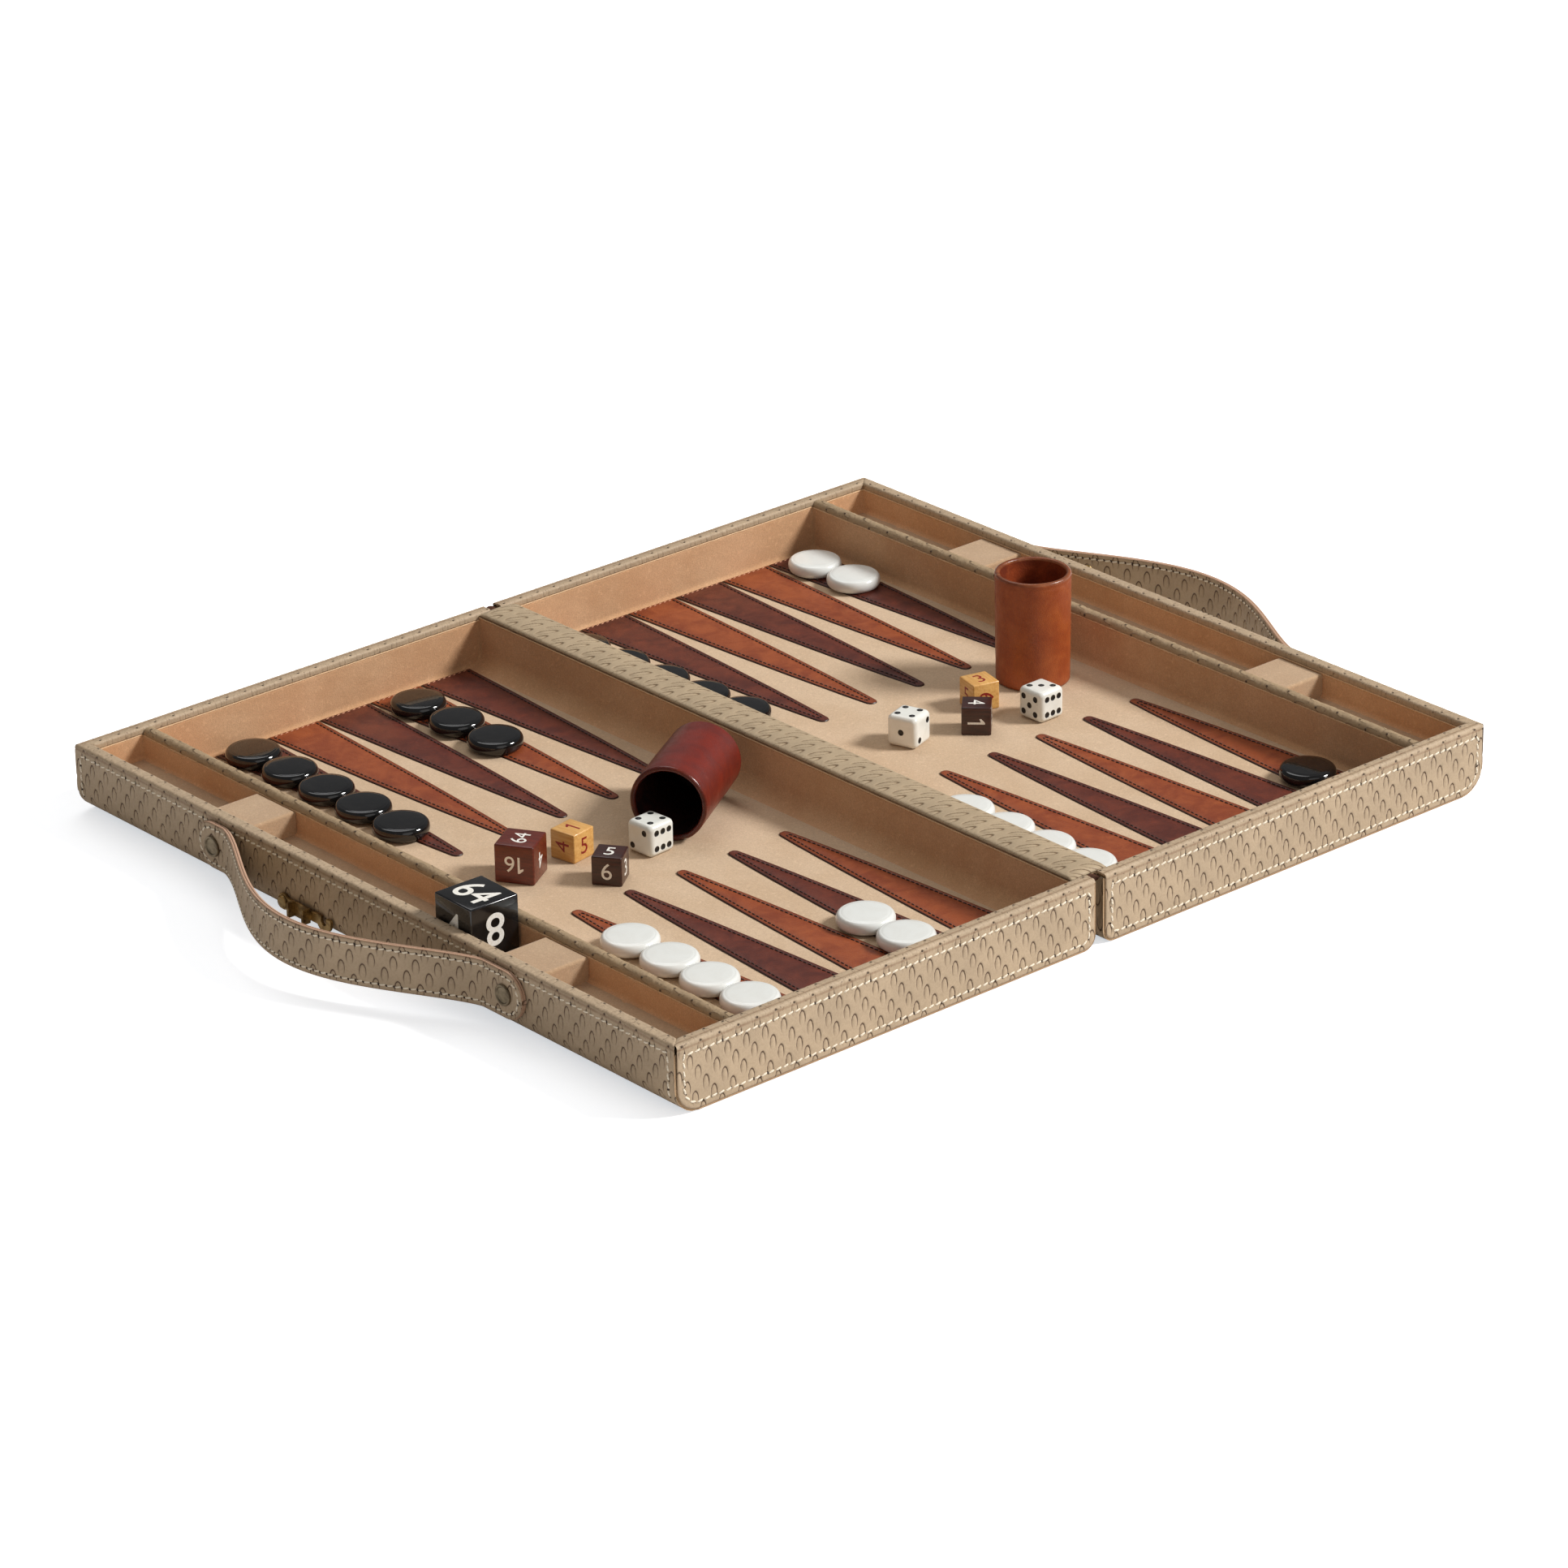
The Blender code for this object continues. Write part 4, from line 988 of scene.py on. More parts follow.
# ================================================================================ points
def point_half_width(t):
    """Half width at a distance from the rounded tip."""
    slope = math.atan2(POINT_HALF - POINT_TIP_R * 0.9, POINT_LENGTH)
    touch = POINT_TIP_R * (1 - math.sin(slope))
    ball = np.sqrt(np.maximum(POINT_TIP_R ** 2 - (POINT_TIP_R - np.minimum(t, touch)) ** 2, 0))
    wedge = POINT_TIP_R * math.cos(slope) + (t - touch) * math.tan(slope)
    swell = 1.1 * np.sin(math.pi * np.clip(t / POINT_LENGTH, 0, 1) ** 0.7)
    return np.where(t < touch, ball, wedge) + swell


def add_point(parts, side, way, centre, seed):
    """One leather wedge: rolled edges, a pressed stitch channel and a slightly full middle."""
    tip = POINT_TIP_R * (1 - np.cos(np.linspace(0, math.pi / 2, 7)))
    t = np.concatenate([tip, np.linspace(POINT_TIP_R, POINT_LENGTH, 96)[1:]])[:, None]
    width = point_half_width(t)
    inset = np.minimum([0, 0.12, 0.45, 1.0, 1.7, 2.25, 2.65, 3.1, 4.2, 6.0, 8.5, 12.0], width)
    across = np.hstack([inset - width, np.zeros_like(t), (width - inset)[:, ::-1]])
    d = np.hstack([inset, width, inset[:, ::-1]])
    d = np.minimum(d, np.minimum(t, POINT_LENGTH - t))
    rise = POINT_RISE * smooth_step(-0.1, 0.5, d) + 0.28 * smooth_step(2.9, 7.0, d)
    rise += 0.10 * smooth_step(0.2, 1.5, d) * (1 - smooth_step(1.6, 2.6, d))
    rise += 0.05 * fractal(across, t, 12, seed) - 0.26 * bell(d, POINT_STITCH, 0.5)
    z = FLOOR_Z - 0.1 + np.where(d <= 0, -0.3, rise)
    middle = (d[:-1, :-1] + d[1:, :-1] + d[:-1, 1:] + d[1:, 1:]) / 4
    parts.add(stacked(side * (centre + across), way * (POINT_TIP_Y + t), z),
              grid_faces(*d.shape, flip=side * way < 0), np.where(middle < 0.5, 1, 0),
              edge=np.exp(-d / 1.3))


def point_tracks(side, way, centre):
    """Stitch lines of one wedge: up one side, round the tip, down the other; and the base."""
    t = np.linspace(POINT_STITCH * 1.9, POINT_LENGTH - POINT_STITCH, 120)
    reach = np.maximum(point_half_width(t) - POINT_STITCH, 0.32)
    z = FLOOR_Z + POINT_RISE - 0.12
    left, right = (stacked(side * (centre + sign * reach), way * (POINT_TIP_Y + t), z)
                   for sign in (-1, 1))
    return np.concatenate([left[::-1], right]), np.linspace(left[-1], right[-1], 30)


def build_points(side, word):
    leather, threads = (Parts(), Parts()), Parts()
    for way in (1, -1):
        for k in range(POINTS_PER_END):
            dark = (k % 2 == 0) == (side * way < 0)
            centre = POINT_FIRST + k * POINT_PITCH
            add_point(leather[dark], side, way, centre, 100 + k * 4 + way + side)
            track, base = point_tracks(side, way, centre)
            up = np.tile((0.0, 0.0, 1.0), (len(track), 1))
            add_stitches(threads, track, up, pitch=3.1, radius=0.36, slot=0, slant=0.06, share=0.74)
            add_stitches(threads, base, up[:len(base)], pitch=3.3, radius=0.3, slot=1, slant=0.25,
                         share=0.72)
    for parts, material, name in zip(leather, (POINT_TAN, POINT_WINE), ("tan", "burgundy")):
        piece = parts.build(f"points_{name}_{word}", [material, POINT_EDGE], f"case_{word}", "suede")
        weld(piece, 0.01, outward=False)
    threads.build(f"point_stitches_{word}", [THREAD_DARK, THREAD_ROSE], f"case_{word}", "suede")


# =========================================================================== hinge strip
def blend_fold(piece):
    """Bakes a piece's placement into its mesh."""
    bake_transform(piece)


def hinge_strip():
    """Domed leather strip over the two spine walls."""
    half, low, crest = SPINE_FACE, STRIP_LOW[2], STRIP_HIGH[2] + 1.5
    x, y = spread(-half, half, 0.55), spread(-END_FACE + 0.4, END_FACE - 0.4, 0.7)
    edge = low + 0.75
    z = edge + (crest - edge) * np.sqrt(np.maximum(1 - (x / half) ** 2, 0))
    yy, xx = np.meshgrid(y, x, indexing="ij")
    pressed = smooth_step(half - 3.0, half - 0.8, np.abs(xx))
    u, v = 0.9 * yy + 0.5 * xx, 0.82 * xx + 3.0
    depth = EMBOSS_DEPTH * emboss(u, v, STRIP_FADE) * (1 - pressed) + 0.10 * fractal(yy, xx, 7, 61)
    fall = np.sqrt(1 - 0.96 * np.clip((np.abs(yy) - (END_FACE - 6.4)) / 6.0, 0, 1) ** 2)
    top = stacked(xx, yy, low + 0.3 + (z - depth - low - 0.3) * fall)
    under = stacked(np.linspace(half, -half, 5), y[:, None], low)
    extra = under.shape[1]
    parts = Parts()
    parts.tube(np.concatenate([top, under], 1), True, 0, padded(stacked(u, v), extra), 1,
               pressed=padded(pressed * 0.8, extra), burnish=np.zeros((len(y), len(x) + extra)))
    blend_fold(parts.build("hinge_leather", [TAUPE_STRIP, CUT_EDGE], None, "leather_taupe",
                           "hinge_strip"))


def hinge_ends():
    """Dark folded leather that closes the gap between the halves at front and back."""
    parts = Parts()
    for way, short in ((1, 1.2), (-1, 3.4)):
        y = np.linspace(way * (END_FACE - 0.2), way * (CASE_Y - short), 6)[:, None]
        for k in range(3):
            z = STRIP_LOW[2] - 0.2 - 0.75 * k
            fold, _ = rounded_path([(-HALF_GAP - 0.7, z, 0), (0, z + 0.9 - 0.25 * k, 2.0),
                                    (HALF_GAP + 0.7, z, 0)], 0.5)
            ring = np.concatenate([fold, fold[::-1] - (0, 0.5)])
            parts.tube(stacked(ring[:, 0], y - way * 0.5 * k, ring[:, 1]), way < 0)
    blend_fold(parts.build("hinge_ends", [SPINE_DARK], None, "leather_taupe"))


# ================================================================================ straps
def strap_curve():
    """Arc length, Y, stand-off and outward normal along the middle of the strap's back."""
    y = np.linspace(-STRAP_END, STRAP_END, 1200)
    off = BOW * np.cos(math.pi / 2 * np.clip((y - BOW_MID) / BOW_SPAN, -1, 1)) ** BOW_POWER
    run = unit(np.stack([np.gradient(off), np.gradient(y)], -1))
    return run_lengths(np.stack([off, y], -1)), y, off, run[:, 1], -run[:, 0]


STRAP_LENGTHS, *STRAP_SHAPE = strap_curve()
STRAP_TOTAL = STRAP_LENGTHS[-1]


def strap_at(side, a, w, out):
    """Points on a strap: a along it, w across it (up), out from its back face."""
    y, off, nx, ny = (np.interp(a, STRAP_LENGTHS, values) for values in STRAP_SHAPE)
    return stacked(side * (CASE_X + STRAP_GAP + off + nx * out), y + ny * out, STRAP_Z + w)


def strap_relief(flow, w, near):
    """Depth of the loops and of the stitch channel, at a distance from the strap's edge."""
    loops = EMBOSS_DEPTH * emboss(flow, w + STRAP_GRAIN) * smooth_step(0.8, 2.0, near)
    return loops + 0.22 * bell(near, 2.6, 0.6)


def strap(side, word):
    """Strap handle: two embossed faces, cut edges with a dark seam, and stitches."""
    a = spread(0.05, STRAP_TOTAL - 0.05, 0.62, crowd=STRAP_HALF)[:, None]
    to_end = np.minimum(a, STRAP_TOTAL - a)
    cut = np.clip(STRAP_HALF - to_end, 0, STRAP_HALF)
    width = np.sqrt(np.maximum(STRAP_HALF ** 2 - cut ** 2, 0.15))
    w = spread(-1, 1, 0.052) * (width - 0.25)
    near = width - np.abs(w)
    flow = side * a + 0 * w
    outer = strap_at(side, a, w, STRAP_THICK - strap_relief(flow, w, near) - 0.35 * np.exp(-near / 0.5))
    back_w = np.linspace(1, -1, 41) * (width - 0.4)
    back_flow = -side * a + 0 * back_w
    back = strap_relief(back_flow, back_w, width - np.abs(back_w)) * smooth_step(6, 12, to_end)
    top, bottom = ([strap_at(side, a, sign * (width + past), out) for out, past in lines]
                   for sign, lines in ((1, STRAP_EDGE), (-1, STRAP_EDGE[::-1])))
    rings = np.concatenate([outer, *top, strap_at(side, a, back_w, back), *bottom], 1)
    lines = len(STRAP_EDGE)
    slots = np.zeros((len(a) - 1, rings.shape[1]), int)
    for first in (w.shape[1], w.shape[1] + lines + back_w.shape[1]):
        slots[:, first - 1:first + lines] = 1
        slots[:, first + 2] = 2
    uv = [padded(stacked(flow, w + STRAP_GRAIN), lines),
          padded(stacked(back_flow, back_w + STRAP_GRAIN), lines)]
    parts = Parts()
    parts.tube(rings, side < 0, slots, np.concatenate(uv, 1), 1,
               burnish=padded(np.exp(-near / 0.5), rings.shape[1] - w.shape[1]))
    band = parts.build(f"strap_leather_{word}", [TAUPE, PINK_EDGE, DARK_EDGE], None, "leather_taupe",
                       f"strap_{word}")
    threads = Parts()
    inset, start, end = STRAP_HALF - STRAP_STITCH, STRAP_STITCH, STRAP_TOTAL - STRAP_STITCH
    middle, turn = STRAP_TOTAL / 2, inset - 0.01
    path, _ = rounded_path([(middle, inset, 0), (end, inset, turn), (end, -inset, turn),
                            (start, -inset, turn), (start, inset, turn), (middle, inset, 0)], 0.7)
    for out, lift in ((STRAP_THICK - 0.12, 1.0), (0.08, -1.0)):
        track, ahead = (strap_at(side, *path.T, height) for height in (out, out + lift))
        add_stitches(threads, track, ahead - track, pitch=3.9, radius=0.5, slot=0, hole=1)
    sewn = threads.build(f"strap_stitches_{word}", [THREAD_LIGHT, HOLE_SHADE], None, "leather_taupe")
    x, z = side * (CASE_X + 3.2) * MM, STRAP_Z * MM
    for piece in (band, sewn):
        x + side * 0.024
        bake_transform(piece)


# ======================================================================== turned pieces
def lathe(profile, steps):
    """Points and quads of a profile of (radius, height) turned round Z."""
    profile = np.asarray(profile, float)
    cos, sin = turned_ring(steps)
    points = stacked(profile[:, 0] * cos, profile[:, 0] * sin, profile[:, 1])
    m = len(profile)
    i, j = np.meshgrid(np.arange(steps), np.arange(m - 1), indexing="ij")
    k = (i + 1) % steps
    quads = np.stack([i * m + j, i * m + j + 1, k * m + j + 1, k * m + j], -1).reshape(-1, 4)
    return points.reshape(-1, 3), quads.tolist()


def turned(name, profile, steps, materials):
    """A turned object standing on the origin of its own space."""
    points, quads = lathe(profile, steps)
    return weld(make_object(name, points, quads, materials), 0.001)


def rivets(side, word):
    """Dished bronze rivet heads with a rolled rim."""
    for tag in ("back", "front"):
        low, high = box_mm(f"rivet_{word}_{tag}")
        middle = (low + high) / 2
        head = (high[2] - low[2]) / 2 * RIVET_SPREAD
        profile, _ = rounded_path([(TINY, 0.75, 0), (head * 0.72, 0.75, 0.4),
                                   (head * 0.8, 1.35, 0.3), (head, 1.3, 0.5), (head, 0, 0.3),
                                   (head * 0.5, -0.1, 0), (TINY, -0.1, 0)], 0.22)
        piece = turned(f"rivet_head_{word}_{tag}", profile, 40, [BRONZE])
        put(piece, (side * (CASE_X + STRAP_GAP + STRAP_THICK), middle[1], middle[2]),
            (0, side * math.pi / 2, 0))
        declare(piece, f"case_{word}", f"rivet_{word}_{tag}")


# ======================================================================== playing pieces
def checker_profile(radius, height):
    """Half section of a checker: slightly full top and underside, and a pillow edge."""
    flat = radius - CHECKER_EDGE - 0.25
    top = [(r, height * 0.965 + 0.22 * (1 - (r / flat) ** 2) + 0.1) for r in np.linspace(TINY, flat, 9)]
    rim = [(radius - CHECKER_EDGE * (1 - math.cos(a) ** 0.9), height / 2 * (1 + math.sin(a) * 0.95))
           for a in np.linspace(math.pi / 2, -math.pi / 2, 17)]
    return top + [(flat + 0.12, height * 0.965 + 0.05)] + rim + [(r, height - z) for r, z in top[::-1]]


def checkers():
    """Thirty pillow-edged checkers, each at its CAD place, on one shared mesh per colour."""
    for colour, material in (("black", BLACK), ("white", IVORY)):
        shared = None
        for k in range(1, CHECKERS + 1):
            node, name = f"checker_{colour}_{k:02d}", f"piece_{colour}_{k:02d}"
            low, high = box_mm(node)
            if shared is None:
                profile = checker_profile((high[0] - low[0]) / 2 + 0.1, high[2] - low[2])
                piece = turned(name, profile, 64, [material])
                shared = piece.data
            else:
                piece = link_object(name, shared)
            middle = (low + high) / 2
            put(piece, (middle[0], middle[1], low[2]), (0, 0, rng.uniform(0, 6.28)))
            declare(piece, node, node)


def rounded_cube(size, radius, steps):
    """A bevelled cube standing on its own origin, as a bmesh in millimetres."""
    bm = bmesh.new()
    bmesh.ops.create_cube(bm, size=size)
    bmesh.ops.translate(bm, vec=(0, 0, size / 2), verts=bm.verts)
    bmesh.ops.bevel(bm, geom=bm.edges[:], offset=radius, segments=steps, profile=0.5, affect="EDGES")
    return bm


# (outward normal, right as seen from outside, up)
FACES = {"top": ((0, 0, 1), (1, 0, 0), (0, 1, 0)), "bottom": ((0, 0, -1), (1, 0, 0), (0, -1, 0)),
         "left": ((-1, 0, 0), (0, -1, 0), (0, 0, 1)), "away": ((1, 0, 0), (0, 1, 0), (0, 0, 1)),
         "right": ((0, -1, 0), (1, 0, 0), (0, 0, 1)), "back": ((0, 1, 0), (-1, 0, 0), (0, 0, 1))}
SEEN, HIDDEN = ("top", "left", "right"), ("bottom", "away", "back")     # opposite faces, in order
PIPS = {1: ((0, 0),), 2: ((1, 1), (-1, -1)), 3: ((-1, 1), (0, 0), (1, -1)),
        4: ((-1, 1), (1, 1), (-1, -1), (1, -1)), 5: ((-1, 1), (1, 1), (0, 0), (-1, -1), (1, -1)),
        6: ((-1, 1), (0, 1), (1, 1), (-1, -1), (0, -1), (1, -1))}


def face_frame(face, size):
    """Middle of a cube's face, with its outward normal, right and up."""
    normal, right, up = (Vector(v) for v in FACES[face])
    return Vector((0, 0, size / 2)) + normal * size / 2, normal, right, up


def cube_place(node):
    """Middle of the foot and size of a cube node, from its own points."""
    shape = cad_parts[node]
    points = np.array([shape.matrix_world @ v.co for v in shape.data.vertices]) / MM
    low, high = points.min(0), points.max(0)
    middle = (low + high) / 2
    return (middle[0], middle[1], low[2]), high[2] - low[2]


def bmesh_object(name, bm, materials):
    """Object in metres from a bmesh in millimetres."""
    bmesh.ops.scale(bm, vec=(MM,) * 3, verts=bm.verts)
    mesh = bpy.data.meshes.new(name)
    bm.to_mesh(mesh)
    bm.free()
    for material in materials:
        mesh.materials.append(material)
    return link_object(name, mesh)


def evaluated_mesh(made):
    """New mesh of an object as its modifiers leave it."""
    bpy.context.view_layer.update()
    graph = bpy.context.evaluated_depsgraph_get()
    return bpy.data.meshes.new_from_object(made.evaluated_get(graph))


def pip_die(node, turn, numbers):
    """White die with dished black pips. numbers gives top, left and right."""
    spot, size = cube_place(node)
    bm = rounded_cube(size, DIE_ROUND, 7)
    for face in bm.faces:
        face.smooth = True
    die = bmesh_object(f"{node}_cast", bm, [DIE_WHITE, PIP])
    radius = size * PIP_R
    ball = (radius ** 2 + PIP_DISH ** 2) / (2 * PIP_DISH)
    cutter = bmesh.new()
    for seen, hidden, number in zip(SEEN, HIDDEN, numbers):
        for face, count in ((seen, number), (hidden, 7 - number)):
            centre, normal, right, up = face_frame(face, size)
            for a, b in PIPS[count]:
                pip = centre + (right * a + up * b) * size * PIP_SPREAD + normal * (ball - PIP_DISH)
                bmesh.ops.create_uvsphere(cutter, u_segments=24, v_segments=16, radius=ball,
                                          matrix=Matrix.Translation(pip))
    for face in cutter.faces:
        face.material_index = 1
        face.smooth = True
    tool = bmesh_object("pips", cutter, [DIE_WHITE, PIP])
    bite = die.modifiers.new("pips", "BOOLEAN")
    bite.operation, bite.solver, bite.object = "DIFFERENCE", "EXACT", tool
    final = evaluated_mesh(die)
    bpy.data.objects.remove(die)
    bpy.data.objects.remove(tool)
    final.shade_smooth()
    final.set_sharp_from_angle(angle=math.radians(32))
    piece = link_object(f"{node}_cast", final)
    put(piece, spot, (0, 0, math.radians(turn)))
    declare(piece, node, node)


def flagged_one(height, stroke):
    """Outline of a numeral 1, its stem ending at x = 0, going anticlockwise."""
    return [(-stroke, 0), (0, 0), (0, height), (-stroke * 0.8, height), (-height * 0.34, height * 0.8),
            (-height * 0.34, height * 0.68), (-stroke, height * 0.76)]


def number_mesh(text, height, weight):
    """Flat outline of a numeral as a thin closed mesh, centred, in millimetres."""
    curve = bpy.data.curves.new("number", "FONT")
    curve.body = text.replace("1", " ")
    curve.size = height / 0.72
    curve.extrude = INLAY
    curve.offset = weight * height
    curve.align_x, curve.align_y = "LEFT", "BOTTOM_BASELINE"
    holder = link_object("number", curve)
    mesh = evaluated_mesh(holder)
    bpy.data.objects.remove(holder)
    points = np.array([v.co for v in mesh.vertices]).reshape(-1, 3)
    faces = [tuple(p.vertices) for p in mesh.polygons]
    if "1" in text:
        one = flagged_one(height, 0.13 * height)
        place = 0.0 if text == "1" else points[:, 0].min() - 0.2 * height
        first, n = len(points), len(one)
        faces += [tuple(first + n + k for k in range(n)), tuple(first + k for k in range(n))[::-1]]
        faces += [tuple(first + k for k in (a, (a + 1) % n, (a + 1) % n + n, a + n)) for a in range(n)]
        points = np.concatenate([points, [(x + place, y, z) for z in (-INLAY, INLAY) for x, y in one]])
    points[:, :2] -= (points[:, :2].min(0) + points[:, :2].max(0)) / 2
    return points, faces


# material, ink, slot, rounding, height of a numeral per cube size, extra weight of its strokes
LIGHT_DIE = (WOOD_LIGHT, NUMBER_RED, "wood_light", 0.7, 0.58, 0.0)
DARK_DIE = (WOOD_DARK, NUMBER_WHITE, "wood_dark", 0.7, 0.58, 0.0)
BROWN_CUBE = (WOOD_RED, NUMBER_WHITE, "wood_red", 0.9, 0.42, 0.0)
BLACK_CUBE = (CUBE_BLACK, NUMBER_WHITE, "cube_black", 0.8, 0.6, 0.012)


def number_cube(node, turn, kind, seen, hidden=None):
    """Wooden die or doubling cube. seen gives (number, turn in degrees) of the top, left and
    right; hidden gives the other numbers, which add up to seven on a die."""
    spot, size = cube_place(node)
    material, ink, slot, rounding, share, weight = kind
    bm = rounded_cube(size, rounding, 4)
    bm.verts.ensure_lookup_table()
    parts = Parts()
    parts.add([tuple(v.co) for v in bm.verts], [tuple(v.index for v in f.verts) for f in bm.faces])
    bm.free()
    hidden = hidden or [7 - number for number, _ in seen]
    for face, (number, angle) in zip(SEEN + HIDDEN, (*seen, *((number, 0) for number in hidden))):
        centre, normal, right, up = face_frame(face, size)
        c, s = math.cos(math.radians(angle)), math.sin(math.radians(angle))
        points, outlines = number_mesh(str(number), size * share, weight)
        points[:, 0] *= min(1.0, size * 0.74 / np.ptp(points[:, 0]))
        along, rise, out = points.T[:, :, None]
        parts.add(np.array(centre) + along * np.array(right * c + up * s) +
                  rise * np.array(up * c - right * s) + (out - 0.02) * np.array(normal), outlines, 1)
    piece = parts.build(f"{node}_turned", [material, ink])
    piece.data.set_sharp_from_angle(angle=math.radians(40))
    put(piece, spot, (0, 0, math.radians(turn)))
    declare(piece, node, node)


def dice():
    pip_die("die_white_left", 4.2, (4, 2, 6))
    pip_die("die_white_middle", 19.1, (4, 1, 2))
    pip_die("die_white_right", 1.6, (3, 5, 6))
    number_cube("die_light_left", 10.5, LIGHT_DIE, ((1, 0), (4, 90), (5, 0)))
    number_cube("die_light_right", -14.0, LIGHT_DIE, ((3, 0), (5, 0), (6, -90)))
    number_cube("die_dark_left", 36.3, DARK_DIE, ((5, -90), (6, 0), (3, 0)))
    number_cube("die_dark_right", 45.2, DARK_DIE, ((4, 180), (1, -90), (5, 0)))
    number_cube("doubling_cube_brown", 31.9, BROWN_CUBE, ((64, 0), (16, 180), (4, 180)), (2, 32, 8))
    number_cube("doubling_cube_black", -1.1, BLACK_CUBE, ((64, -90), (4, 0), (8, 180)), (2, 16, 32))


def cup(node, materials, spot, turn, seam):
    """Leather cup: burnished rolled rim, side seam, dark lined inside."""
    bore, top = CUP_R - CUP_WALL, CUP_HEIGHT
    outer, _ = rounded_path([(0.01, 0, 0), (CUP_R - 0.5, 0, 1.6), (CUP_R, top - 1.2, 0),
                             (CUP_R, top, 1.1), (bore, top, 1.1), (bore, CUP_BASE, 2.0),
                             (0.01, CUP_BASE, 0)], 0.9)
    r, z = outer.T
    groove = bell(z, top - 3.1, 0.35) * (r > CUP_R - 1.2)
    steps = 144
    points, quads = lathe(stacked(r - 0.16 * groove, z), steps)
    angle, reach = np.arctan2(points[:, 1], points[:, 0]), np.hypot(points[:, 0], points[:, 1])
    span = (angle - seam + math.pi) % (2 * math.pi) - math.pi
    wallish = smooth_step(bore - 0.5, bore + 0.4, reach)
    overlap = smooth_step(0, 0.06, span) * (1 - smooth_step(0.06, 0.5, span))
    dent = (0.3 * bell(span * CUP_R, 0, 0.55) - 0.22 * overlap) * wallish
    dent += 0.12 * fractal(angle * CUP_R, points[:, 2], 16, 71) * wallish
    points[:, :2] *= ((reach - dent) / np.maximum(reach, 0.01))[:, None]
    middle_r, middle_z = (outer[:-1] + outer[1:]).T / 2
    inside = (middle_r < bore + 0.4) & (middle_z > CUP_BASE - 0.5) & (middle_z < top - 1.2)
    ring = np.where(inside, 2, np.where(middle_z > top - 1.6, 1, 0))
    edge = 0.6 * np.exp(-np.abs(points[:, 2] - top) / 1.5) + 0.5 * np.exp(-points[:, 2] / 1.2)
    edge += 0.8 * bell(span * CUP_R, 0, 0.5)
    piece = make_object(f"{node}_leather", points, quads, materials, slots=np.tile(ring, steps),
                        values={"edge": np.clip(edge, 0, 1)})
    put(weld(piece, 0.02), spot, turn)
    declare(piece, node, node)


def cups():
    low, high = box_mm("cup_standing")
    middle = (low + high) / 2
    cup("cup_standing", [CUP_TAN, CUP_RIM_TAN, CUP_IN_TAN],
        (middle[0], middle[1], low[2]), (0, 0, 0), math.radians(148))
    low, high = box_mm("cup_lying")
    heading = np.array((math.cos(CUP_HEADING), math.sin(CUP_HEADING), 0))
    foot = (low + high) / 2 + heading * CUP_HEIGHT / 2
    cup("cup_lying", [CUP_WINE, CUP_RIM_WINE, CUP_IN_DARK], foot,
        (0, -math.pi / 2, CUP_HEADING), math.radians(205))


# ============================================================================== hardware
def arc(a, b, radius, start, end, count):
    """Points (a, b) on an arc between two angles in degrees."""
    turns = np.radians(np.linspace(start, end, count))
    return [(a + radius * math.cos(t), b + radius * math.sin(t)) for t in turns]


def plate(parts, outline, near, far):
    """A flat plate on the left wall: outline of (along the bar, up), between two depths."""
    m = len(outline)
    points = [(-depth, PIVOT_Y - along, PIVOT_Z + up) for depth in (near, far) for along, up in outline]
    faces = [(k, (k + 1) % m, (k + 1) % m + m, k + m) for k in range(m)]
    parts.add(points, faces + [tuple(range(m))[::-1], tuple(range(m, 2 * m))])


def latch_hook():
    """Swing hook parked along the foot of the wall: bar, raised bracket and pivot head."""
    back = CASE_X + HOOK_GAP
    front = back + HOOK_THICK
    neck, throat, beak = (math.degrees(math.asin(share)) for share in
                          (HOOK_BAR / HOOK_BOSS, HOOK_BAR / HOOK_NOSE, HOOK_BEAK / HOOK_NOSE))
    outline = arc(0, 0, HOOK_BOSS, neck, 360 - neck, 30)
    outline += arc(HOOK_REACH, 0, HOOK_NOSE, throat - 180, beak, 26)
    outline += [(HOOK_REACH + HOOK_NOTCH, HOOK_BEAK)]
    outline += arc(HOOK_REACH, 0, HOOK_NOTCH, 0, -180, 14)
    outline += [(HOOK_REACH - HOOK_NOTCH, HOOK_BAR)]
    parts = Parts()
    plate(parts, outline, back, front)
    start, end = LUGS
    for first, last, near, far in ((start, end, -0.2, 0.9), (start, start + LUG_THICK, 0.4, LUG_RISE),
                                   (end - LUG_THICK, end, 0.4, LUG_RISE)):
        corners = [(first, -LUG_HALF), (last, -LUG_HALF), (last, LUG_HALF), (first, LUG_HALF)]
        plate(parts, corners, front + near, front + far)
    hook = parts.build("latch_hook_brass", [BRASS], "latch", "brass", "latch_hook", smooth=False)
    bevel = hook.modifiers.new("worn_edges", "BEVEL")
    bevel.width, bevel.segments, bevel.limit_method = 0.3 * MM, 3, "ANGLE"
    bevel.angle_limit = math.radians(40)
    head, _ = rounded_path([(TINY, 1.6, 0), (3.4, 1.2, 1.0), (3.4, 0, 0)], 0.3)
    cap = turned("latch_pivot_head", head, 32, [BRASS])
    put(cap, (-front, PIVOT_Y, PIVOT_Z), (0, -math.pi / 2, 0))
    declare(cap, "latch")


def hardware():
    """The latch's stud and the wooden trays keep their CAD shapes."""
    latch_hook()
    for node, material in (("latch_stud", BRASS), ("shell_left", WOOD_RAW), ("shell_right", WOOD_RAW)):
        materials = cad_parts[node].data.materials
        materials.clear()
        materials.append(material)


# ============================================================================= the stage
def floor():
    bpy.ops.mesh.primitive_plane_add(size=14, location=(0, 0, -0.0004))
    plane = bpy.context.object
    plane.name = "studio_floor"
    plane.data.materials.append(studio_floor())


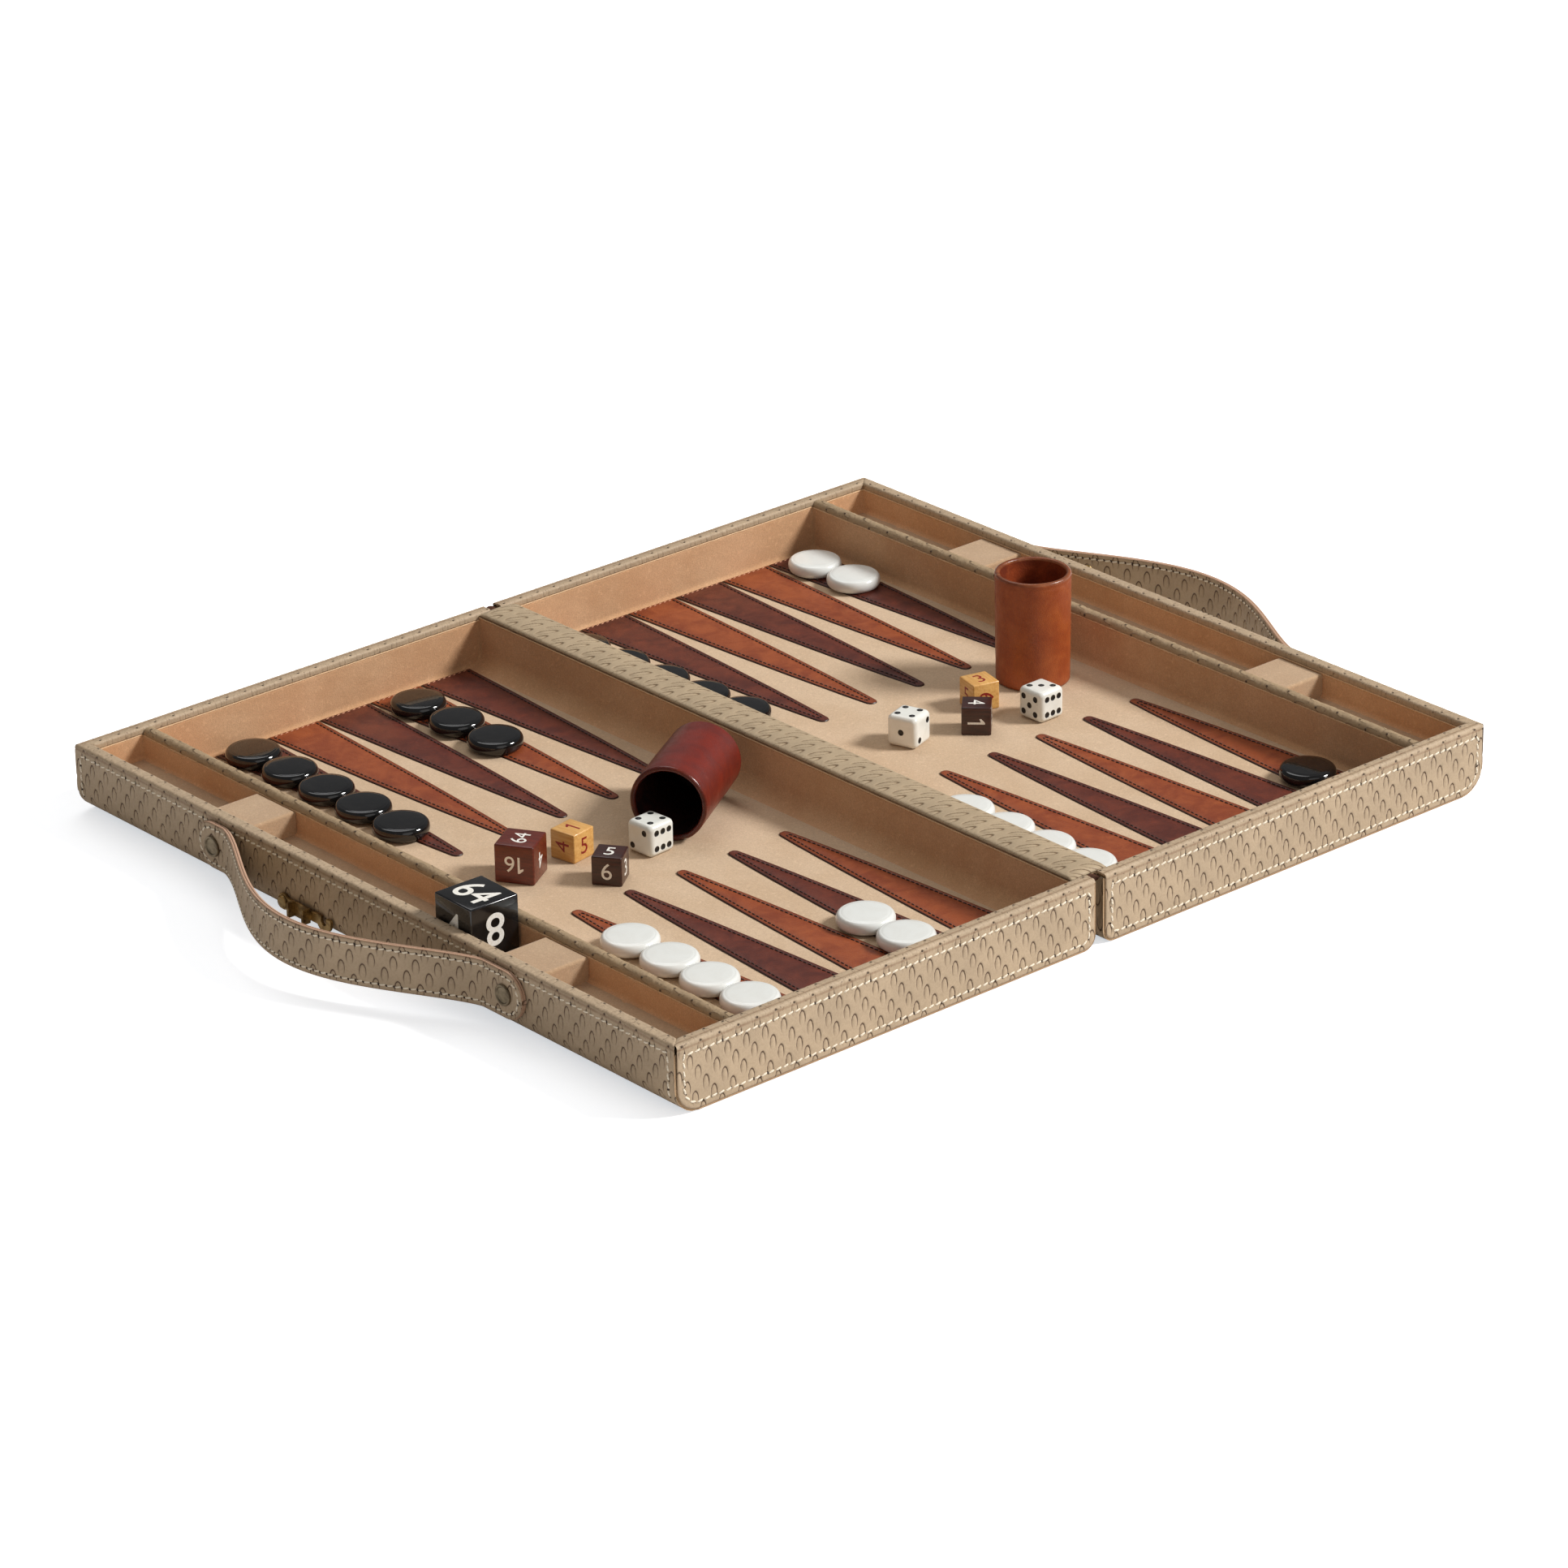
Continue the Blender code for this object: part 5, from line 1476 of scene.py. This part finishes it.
def area_light(name, location, size, power, colour=(1, 1, 1)):
    """A round lamp that faces the middle of the set."""
    data = bpy.data.lights.new(name, "AREA")
    data.shape, data.size, data.energy, data.color = "DISK", size, power, colour
    lamp = link_object(name, data)
    lamp.location = location
    lamp.rotation_euler = (-Vector(location)).to_track_quat("-Z", "Y").to_euler()


def lights():
    """White behind the object; a warm world for diffuse light, a dimmer cool one for gloss."""
    world = bpy.data.worlds.new("studio")
    bpy.context.scene.world = world
    world.use_nodes = True
    tree = world.node_tree
    seen, soft = tree.nodes["Background"], tree.nodes.new("ShaderNodeBackground")
    seen.inputs["Color"].default_value = (1, 1, 1, 1)
    tint, level = tree.nodes.new("ShaderNodeMix"), tree.nodes.new("ShaderNodeMapRange")
    tint.data_type = "RGBA"
    tint.inputs[6].default_value, tint.inputs[7].default_value = (1.0, 0.9, 0.8, 1), (0.97, 0.98, 1.0, 1)
    level.inputs["To Min"].default_value, level.inputs["To Max"].default_value = 0.28, 0.15
    path, share = tree.nodes.new("ShaderNodeLightPath"), tree.nodes.new("ShaderNodeMixShader")
    for source, socket in ((path.outputs["Is Glossy Ray"], level.inputs["Value"]),
                           (path.outputs["Is Glossy Ray"], tint.inputs[0]),
                           (tint.outputs[2], soft.inputs["Color"]),
                           (level.outputs["Result"], soft.inputs["Strength"]),
                           (path.outputs["Is Camera Ray"], share.inputs[0]),
                           (soft.outputs[0], share.inputs[1]), (seen.outputs[0], share.inputs[2]),
                           (share.outputs[0], tree.nodes["World Output"].inputs["Surface"])):
        tree.links.new(source, socket)
    area_light("key", (4.35, -3.97, 4.72), size=1.88, power=640, colour=(1.0, 0.985, 0.97))
    area_light("fill", (-0.6, -2.6, 1.5), size=2.2, power=7, colour=(1.0, 0.97, 0.94))
    area_light("top", (0.5, 1.2, 2.4), size=1.8, power=16)


def camera():
    """The view: turned 40.8 degrees to the left of the front, 24 degrees above the table."""
    azimuth, elevation, roll = math.radians(-40.803), math.radians(24.173), math.radians(-0.993)
    distance, lens = 3.189, 148.32
    shift_right, shift_up = -0.0020, -0.0080
    back = Vector((math.sin(azimuth) * math.cos(elevation), -math.cos(azimuth) * math.cos(elevation),
                   math.sin(elevation)))
    right = Vector((math.cos(azimuth), math.sin(azimuth), 0))
    up = back.cross(right)
    right, up = (right * math.cos(roll) + up * math.sin(roll), up * math.cos(roll) - right * math.sin(roll))
    data = bpy.data.cameras.new("camera")
    data.lens, data.sensor_width, data.clip_end = lens, 36, 50
    view = link_object("camera", data)
    place = back * distance - right * shift_right - up * shift_up
    view.matrix_world = Matrix.Translation(place) @ Matrix((right, up, back)).transposed().to_4x4()
    bpy.context.scene.camera = view


for side, word in ((-1, "left"), (1, "right")):
    side_wrap(side, word)
    end_panel(side, word, 1, "back")
    end_panel(side, word, -1, "front")
    for build in (case_stitches, suede_basins, playing_field, tray_padding, divider_roll,
                  build_points, strap, rivets):
        build(side, word)
hinge_strip()
hinge_ends()
checkers()
dice()
cups()
hardware()
floor()
lights()
camera()
bpy.context.scene.view_settings.view_transform = "Standard"
